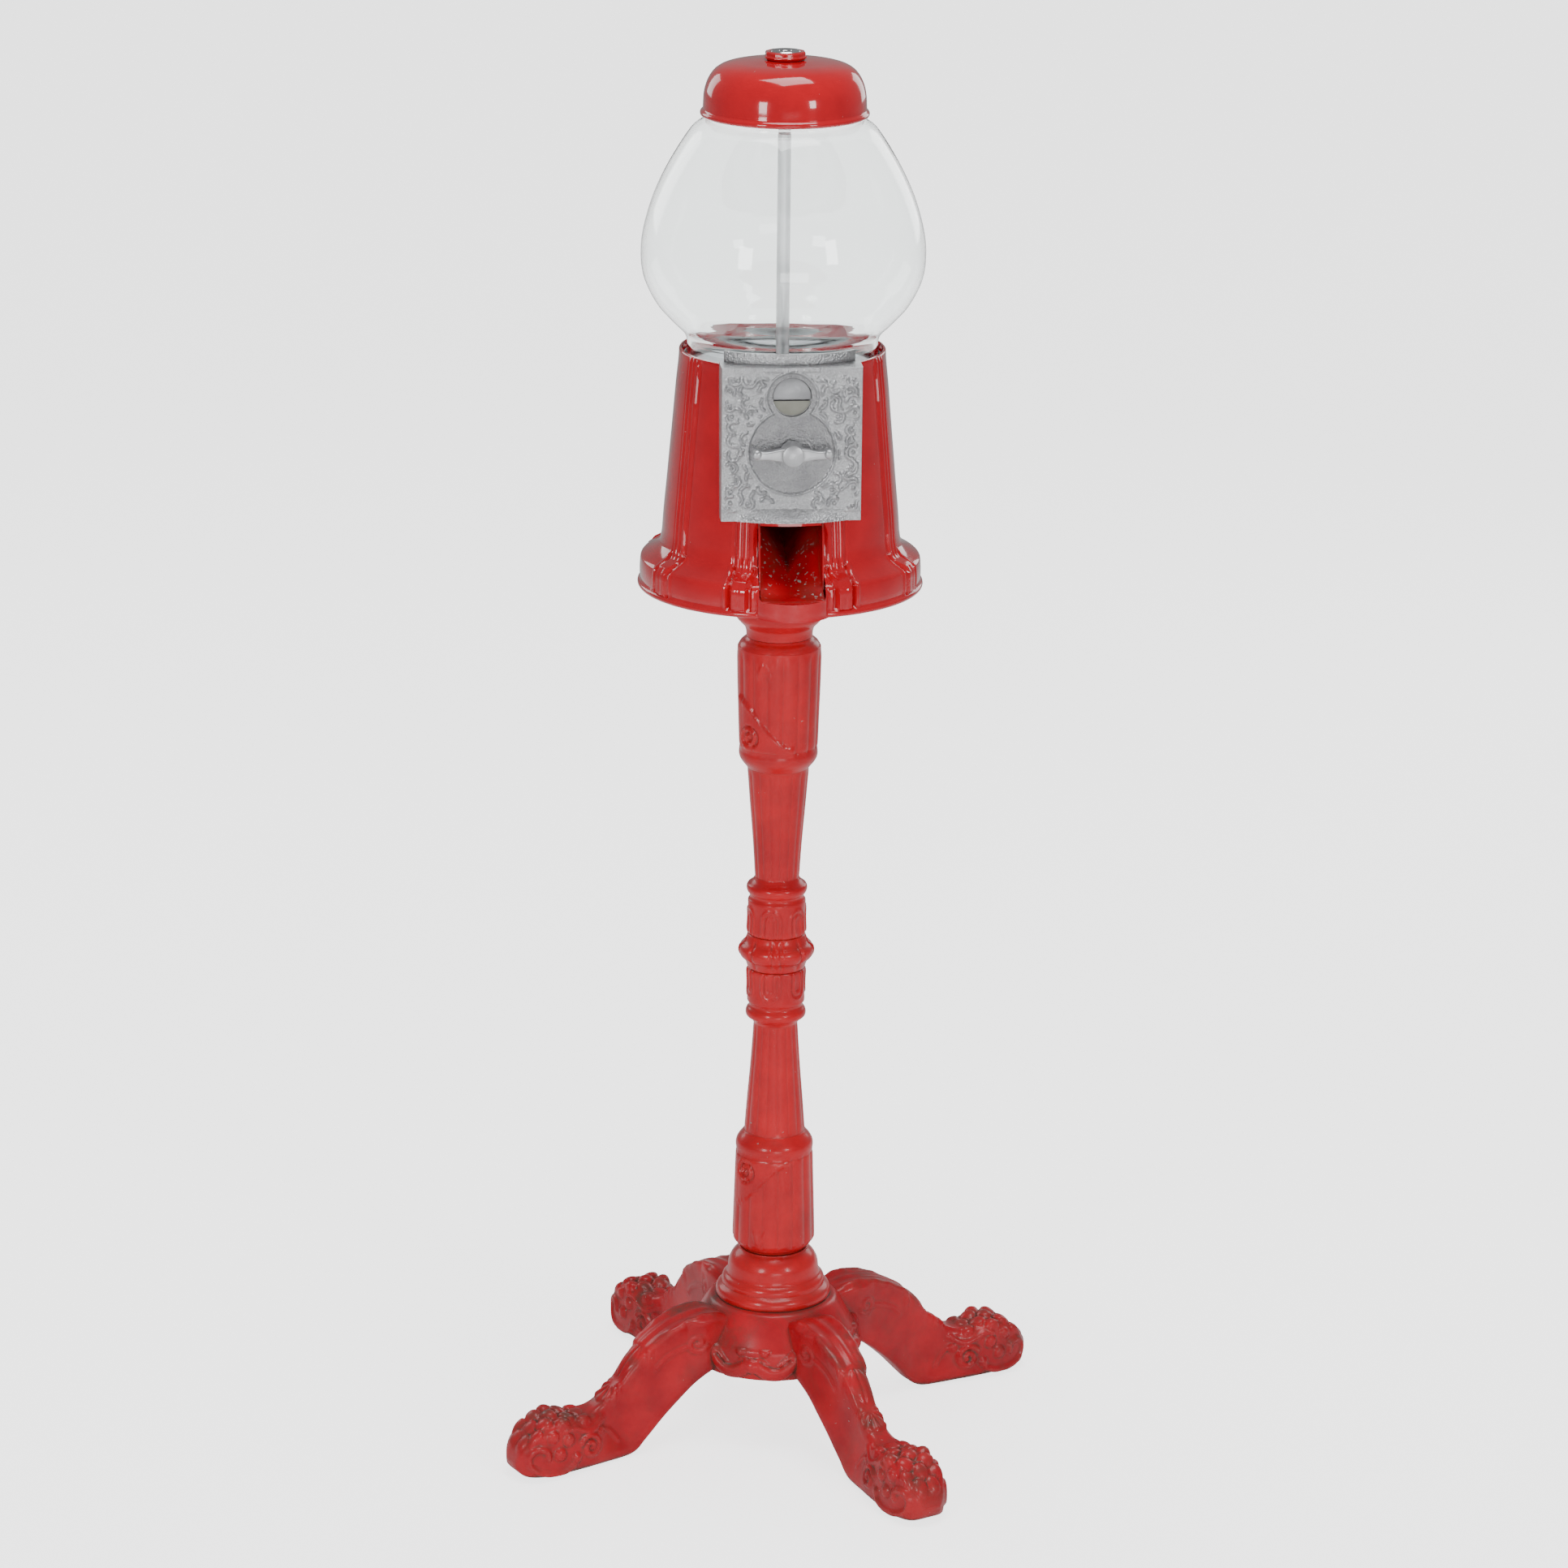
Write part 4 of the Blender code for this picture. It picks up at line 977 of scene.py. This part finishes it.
class AddColumn(bpy.types.Operator):
    """Model the column castings: bell, two fluted halves, knuckle and cup"""
    bl_idname = "object.vendor_column_add"
    bl_label = "Column"

    def execute(self, context):
        red = finishes()["column_red"]
        for node, direction in (("lower_column", -1), ("upper_column", 1)):
            ends = (low(node).z, high(node).z)
            reach = max(abs(end - COLUMN_MIDDLE) for end in ends)
            line = finer([(r, COLUMN_MIDDLE + direction * d) for d, r in column_line(reach)], 1.3)
            start, end = (COLUMN_BORE, line[0][1]), (COLUMN_BORE, line[-1][1])
            outline = [start] + line + [end, start]
            half = lathe(f"{node}_casting", outline, 240)
            emboss(half, column_relief)
            finish(half, red, MACHINE, (node,), 60)
        floor, roof = low("centre_knuckle").z, high("centre_knuckle").z
        line = [(19.0, floor), (19.6, floor + 0.8), (20.2, floor + 3)]
        line += arc((18.7, COLUMN_MIDDLE), 6.6, -62, 62, 18)
        line += [(20.2, roof - 3), (19.6, roof - 0.8), (19.0, roof)]
        outline = [(COLUMN_BORE, floor)] + line + [(COLUMN_BORE, roof), (COLUMN_BORE, floor)]
        knuckle = lathe("knuckle_casting", outline, 240)
        emboss(knuckle, knuckle_relief)
        finish(knuckle, red, MACHINE, ("centre_knuckle",), 60)
        floor, roof = low("base_bell").z, high("base_bell").z
        tiers = smooth([(38.6, 0), (39.3, 1.6), (39.2, 3.9), (38.2, 6.2), (36.2, 7.9)], 3)
        tiers += smooth([(35.2, 8.6), (35.2, 11), (34.4, 13.2), (32.8, 14.8)], 3)
        tiers += smooth([(31.8, 15.6), (31.2, 18), (30.9, 21), (30.2, 25), (28.2, 29),
                         (25.6, 31.8), (23.6, 33.6), (23.2, 34.4)], 3)
        tiers = [(BOLT_BORE, 0)] + tiers + [(BOLT_BORE, 34.4), (BOLT_BORE, 0)]
        outline = [(r, z + floor) for r, z in tiers]
        bell = lathe("bell_casting", outline, 160)
        finish(bell, red, MACHINE, ("base_bell",), 50)
        floor, roof = low("top_cup").z, high("top_cup").z
        tall = roof - floor
        line = smooth([(22, 0), (22.2, 3.2), (23.3, 6.6), (26.0, 9.6), (28.6, 12.6), (29.3, 16.0),
                       (29.4, 21), (29.3, 25)], 4)
        line += smooth([(29.3, 26.4), (30.4, 28.6), (32.4, 30.2), (33, 31.4), (33, tall)], 3)
        line = [(BOLT_BORE, 0)] + line + [(BOLT_BORE, tall), (BOLT_BORE, 0)]
        outline = [(r, z + floor) for r, z in line]
        cup = lathe("cup_casting", outline, 160)
        finish(cup, red, MACHINE, ("top_cup",), 50)
        return {"FINISHED"}


# One leg from hub to toe: along and up at its top, along and up at its sole, half width
LEG_STATIONS = [
    (34, 88, 34, 58, 17), (58, 91, 52, 52, 17), (78, 88.5, 68, 44, 16.5), (94, 82, 82, 33, 16),
    (106, 74, 93, 23, 15), (116, 64, 101, 14.5, 14), (124, 54, 107, 8, 13),
    (134, 44.5, 113, 2.5, 13), (147, 38, 122, 0.4, 14), (160, 37.5, 145, 0.2, 16.5),
    (172, 39.5, 165, 0.2, 18.5), (184, 37.5, 182, 0.4, 18.5), (195, 30, 193, 1.2, 16.5),
    (202.5, 21.5, 200, 3, 12.5), (205.5, 12, 204.5, 7.5, 7),
]
# Lumps on top of the foot: along, across, radius, height
TOE_LUMPS = [
    (156, 0, 5.4, 2.6), (155, 10, 4.6, 2.4), (166, 6.4, 5.6, 3.4), (176, 0, 5.8, 3.8),
    (173, 14, 5.2, 3.4), (184, 8, 5.8, 3.6), (191, 0, 5.4, 3.2), (193, 13, 5.0, 2.8),
    (199, 5, 4.6, 2.2),
]
# Lumps on the foot's sides: along, up, radius, height
SIDE_LUMPS = [(177, 17, 4.4, 2.8), (170, 26, 4.2, 2.6), (164, 12, 3.2, 2.0), (182, 30, 4.2, 2.4),
              (142, 25, 3.0, 1.4)]


def leg_surface():
    """Points of one leg along +X, as rings of (along, across, up), with its relief."""
    stations = np.array(smooth(LEG_STATIONS, 14))
    turn = np.linspace(0, 2 * math.pi, 4001)
    across = np.sign(np.cos(turn)) * np.abs(np.cos(turn)) ** 0.32
    upward = np.sign(np.sin(turn)) * np.abs(np.sin(turn)) ** 0.32
    walked = np.cumsum(np.hypot(np.diff(across, prepend=across[0]) * 15,
                                np.diff(upward, prepend=upward[0]) * 20))
    even = np.linspace(0, walked[-1], 105)
    across = np.interp(even, walked, across)
    upward = np.interp(even, walked, upward)
    top = stations[:, None, 0:2]
    bottom = stations[:, None, 2:4]
    half = stations[:, None, 4]
    share = (upward[None, :, None] + 1) / 2
    spine = bottom + (top - bottom) * share
    points = np.empty((len(stations), len(across), 3))
    points[:, :, 0] = spine[:, :, 0]
    waist = ramp(stations[:, 0], 62, 96) * ramp(stations[:, 0], 158, 140)
    points[:, :, 1] = half * across[None, :] * (
        1.0 - (0.10 + 0.22 * waist[:, None]) * share[:, :, 0])
    points[:, :, 2] = spine[:, :, 1]
    along, side, height = points[:, :, 0], points[:, :, 1], points[:, :, 2]
    face_up = ramp(upward, 0.62, 0.97)[None, :]
    face_side = ramp(np.abs(across), 0.72, 0.97)[None, :] * np.ones_like(along)
    relief = -2.2 * face_side * ramp(along, 60, 75) * ramp(along, 150, 135) * (
        1 - upward[None, :] ** 2)
    lumps = np.zeros_like(along)
    for r, y, size, tall in TOE_LUMPS:
        away = np.hypot(along - r, np.abs(side) - y)
        lumps = np.maximum(lumps, tall * np.sqrt(np.clip(1 - (away / size) ** 2, 0, 1)))
    relief += face_up * lumps
    foot = ramp(along, 150, 156)
    relief -= 0.8 * face_up * foot * ramp(along, 203, 198)
    shell_x, shell_y = along - 126, side
    reach = np.hypot(shell_x, shell_y)
    rays = 0.5 + 0.5 * np.cos(11 * np.arctan2(shell_y, shell_x))
    shell = ramp(reach, 13.5, 11.0) * ramp(shell_x, -3.0, 2.0)
    relief += face_up * shell * (0.9 + 1.1 * rays * ramp(reach, 1.0, 5.0))
    leaf = np.clip(1 - ((along - 114) / 8.5) ** 2 - (side / 6.5) ** 2, 0, 1)
    relief += face_up * (1.7 * np.sqrt(leaf) - 0.9 * bump(side, 0.8) * (leaf > 0))
    crest = ramp(along, 44, 56) * ramp(along, 106.5, 104)
    scallop = np.abs(np.sin(math.pi * along / 12.5))
    edge = bump(np.abs(side) - (10.0 + 1.2 * scallop), 1.9)
    relief += face_up * crest * (1.2 + 1.6 * edge + 0.5 * np.cos(2 * math.pi * side / 9.0))
    fin = ramp(upward, 0.45, 0.85)[None, :] * ramp(upward, 1.0, 0.93)[None, :]
    relief += face_side * fin * crest * 1.1 * np.abs(np.sin(math.pi * along / 25.0)) ** 0.5
    trough = ramp(along, 108, 112) * ramp(along, 150, 145)
    relief += face_up * trough * 1.3 * bump(np.abs(side) - 10.6, 1.2)
    scrolls = [
        (spiral((152, 17), 8.5, 1.5, 30, 1.5), 1.7, 2.4),
        (smooth([(166, 8), (174, 4.5), (187, 5), (197, 10), (199, 17), (194, 22.5), (187, 21),
                 (186, 16)]), 1.9, 2.6),
        (smooth([(140, 33), (148, 28), (157, 29), (165, 33), (172, 32)]), 1.5, 1.8),
        (smooth([(128, 14), (134, 22), (141, 27)]), 1.2, 1.0),
        (spiral((68, 74), 7.0, 1.4, 200, 1.3), 1.3, 1.2),
        (smooth([(76, 72), (84, 70), (92, 66), (98, 60)]), 1.3, 1.0),
    ]
    for path, width, tall in scrolls:
        relief += face_side * tall * bump(distance_to(path, along, height), width)
    for r, z, size, tall in SIDE_LUMPS:
        away = np.hypot(along - r, height - z)
        relief += face_side * tall * np.sqrt(np.clip(1 - (away / size) ** 2, 0, 1))
    out_y = np.sign(across) * np.abs(across) ** 1.4
    out_z = np.sign(upward) * np.abs(upward) ** 1.4
    length = np.hypot(out_y, out_z)
    lean = (top - bottom) / np.linalg.norm(top - bottom, axis=2, keepdims=True)
    points[:, :, 1] += relief * (out_y / length)[None, :]
    points[:, :, 0] += relief * (out_z / length)[None, :] * lean[:, :, 0]
    points[:, :, 2] += relief * (out_z / length)[None, :] * lean[:, :, 1]
    points[:, :, 2] = np.maximum(points[:, :, 2], 0.0)
    points[0] = points[0].mean(axis=0)
    points[-1] = points[-1].mean(axis=0)
    return points


def hub_relief(radius, angle, z):
    """Ribbon swags and a knotted bow in each bay between two legs."""
    total = np.zeros_like(radius)
    for leg in LEG_ANGLES:
        along = np.radians(turn_away(angle, leg + 45.0)) * radius
        near = np.abs(along)
        swag = distance_to(smooth([(5, 61), (11, 56.5), (18, 56), (25, 61), (31, 68)]), near, z)
        total = np.maximum(total, 3.6 * np.sqrt(np.clip(1 - (swag / 5.6) ** 2, 0, 1)))
        fold = distance_to(smooth([(6, 65), (12, 61), (19, 60.5), (26, 66)]), near, z)
        total -= 2.2 * bump(fold, 1.0)
        knot = np.hypot(along * 0.8, z - 61)
        total = np.maximum(total, 4.4 * np.sqrt(np.clip(1 - (knot / 5.4) ** 2, 0, 1)))
        ray = np.hypot(near - 8.5, (z - 72) * 0.8)
        total = np.maximum(total, 1.8 * np.sqrt(np.clip(1 - (ray / 3.6) ** 2, 0, 1)))
    return np.where(radius > 55.4, total * ramp(z, 50.3, 51.2), 0.0)


class AddLegs(bpy.types.Operator):
    """Model the hub with its ribbon swags and the four scrolled legs with clustered feet"""
    bl_idname = "object.vendor_legs_add"
    bl_label = "Leg casting"

    def execute(self, context):
        red = finishes()["leg_red"]
        crown = high("leg_casting").z
        outer = smooth([(40, crown), (44, 91), (50, 82), (55, 73), (57, 69), (58, 60),
                        (57, 50.8)], 12)
        inner = [(56, 50.2), (53, 50.5), (52, 66), (44, 79), (38, 85), (BOLT_BORE, 85)]
        line = [(BOLT_BORE, crown)] + outer + inner + [(BOLT_BORE, crown)]
        hub = lathe("leg_hub", line, 300)
        emboss(hub, hub_relief)
        finish(hub, red, MACHINE, ("leg_casting",), 60)
        surface = leg_surface()
        rows, columns = surface.shape[:2]
        for number, angle in enumerate(LEG_ANGLES, 1):
            deselect()
            bpy.ops.mesh.primitive_grid_add(x_subdivisions=columns - 1, y_subdivisions=rows - 1)
            leg = bpy.context.object
            leg.name = f"leg_{number}"
            turned = np.array(Matrix.Rotation(math.radians(angle), 3, "Z"))
            place_points(leg, surface.reshape(-1, 3) @ turned.T)
            bpy.ops.object.mode_set(mode="EDIT")
            close_up(merge=True)
            finish(leg, red, MACHINE, ("leg_casting",), 60)
        return {"FINISHED"}


# ---------------------------------------------------------------- stage

def area_light(name, place, target, width, height, power):
    deselect()
    bpy.ops.object.light_add(type="AREA", location=place)
    lamp = bpy.context.object
    lamp.name = name
    lamp.data.shape = "RECTANGLE"
    lamp.data.size = width
    lamp.data.size_y = height
    lamp.data.energy = power
    lamp.rotation_euler = (Vector(target) - Vector(place)).to_track_quat("-Z", "Y").to_euler()


def brighter_in_view(tree, elsewhere, in_view):
    """A strength for what is seen directly or through glass, and a lower one for all other rays."""
    rays = add_node(tree, "ShaderNodeLightPath")
    seen = maths(tree, "MAXIMUM", rays.outputs["Is Camera Ray"],
                 rays.outputs["Is Transmission Ray"])
    return add_node(tree, "ShaderNodeMapRange", {
        "Value": seen, "To Min": elsewhere, "To Max": in_view}).outputs[0]


class AddStage(bpy.types.Operator):
    """Add the pale floor, the soft lights, the bright room and the camera"""
    bl_idname = "object.vendor_stage_add"
    bl_label = "Stage"

    def execute(self, context):
        deselect()
        bpy.ops.mesh.primitive_plane_add(size=14.0, location=(0, 0, -0.0005))
        floor = bpy.context.object
        floor.name = "studio_floor"
        material, tree, shader, where = start_material("pale_floor")
        tint = mixed(tree, noise(tree, where, 3.0), (0.9, 0.9, 0.9, 1), (0.88, 0.88, 0.88, 1))
        tree.links.new(tint, shader.inputs["Base Color"])
        shader.inputs["Roughness"].default_value = 0.9
        shader.inputs["Emission Color"].default_value = (1, 1, 1, 1)
        tree.links.new(brighter_in_view(tree, 0.05, 2.4), shader.inputs["Emission Strength"])
        floor.data.materials.append(material)
        world = bpy.data.worlds.new("bright_room")
        world.use_nodes = True
        sky = world.node_tree
        background = sky.nodes["Background"]
        background.inputs["Color"].default_value = (1, 1, 1, 1)
        sky.links.new(brighter_in_view(sky, 0.26, 2.8), background.inputs["Strength"])
        context.scene.world = world
        centre = (0, 0, 0.6)
        area_light("left_softbox", (-1.5, -2.1, 1.1), centre, 0.5, 0.8, 19)
        area_light("right_softbox", (1.5, -2.2, 1.3), centre, 0.42, 0.7, 15)
        area_light("front_fill", (0.2, -3.0, 0.35), (0, 0, 0.45), 1.2, 0.5, 10)
        area_light("rear_left_softbox", (-1.6, 2.0, 1.4), centre, 0.9, 1.2, 9)
        area_light("rear_right_softbox", (1.6, 2.0, 1.2), centre, 0.9, 1.2, 8)
        area_light("top_softbox", (0.1, -0.2, 2.6), (0, 0, 0.4), 1.2, 1.2, 30)
        camera_data = bpy.data.cameras.new("front_camera")
        camera = bpy.data.objects.new("front_camera", camera_data)
        context.scene.collection.objects.link(camera)
        camera_data.sensor_width = 36.0
        camera_data.lens = CAMERA_LENS
        pitch, roll, heading = (math.radians(turn) for turn in (
            CAMERA_PITCH, CAMERA_ROLL, CAMERA_HEADING))
        ahead = Vector((math.sin(heading) * math.cos(pitch), math.cos(heading) * math.cos(pitch),
                        -math.sin(pitch)))
        turn = ahead.to_track_quat("-Z", "Y").to_matrix().to_4x4()
        turn = turn @ Matrix.Rotation(roll, 4, "Z")
        camera.matrix_world = Matrix.Translation(CAMERA_PLACE) @ turn
        context.scene.camera = camera
        return {"FINISHED"}


class VENDOR_PT_panel(bpy.types.Panel):
    """Buttons for each group of the vendor's pieces"""
    bl_idname = "VENDOR_PT_panel"
    bl_label = "Coin vendor"
    bl_space_type = "VIEW_3D"
    bl_region_type = "UI"
    bl_category = "Vendor"

    def draw(self, context):
        for name in VendorSettings.__annotations__:
            self.layout.prop(context.scene.coin_vendor, name)
        for operator in STEPS:
            self.layout.operator(operator.bl_idname)


STEPS = (AddLid, AddGlobe, AddHopper, AddBody, AddChute, AddCoinPlate, AddHandle, AddColumn,
         AddLegs, AddStage)
CLASSES = (VendorSettings,) + STEPS + (VENDOR_PT_panel,)


def register():
    for item in CLASSES:
        bpy.utils.register_class(item)
    bpy.types.Scene.coin_vendor = bpy.props.PointerProperty(type=VendorSettings)


def unregister():
    del bpy.types.Scene.coin_vendor
    for item in reversed(CLASSES):
        bpy.utils.unregister_class(item)


def main():
    register()
    bpy.ops.object.vendor_lid_add()
    bpy.ops.object.vendor_globe_add()
    bpy.ops.object.vendor_hopper_add()
    bpy.ops.object.vendor_body_add()
    bpy.ops.object.vendor_chute_add()
    bpy.ops.object.vendor_plate_add()
    bpy.ops.object.vendor_handle_add()
    bpy.ops.object.vendor_column_add()
    bpy.ops.object.vendor_legs_add()
    bpy.ops.object.vendor_stage_add()


if __name__ == "__main__":
    main()
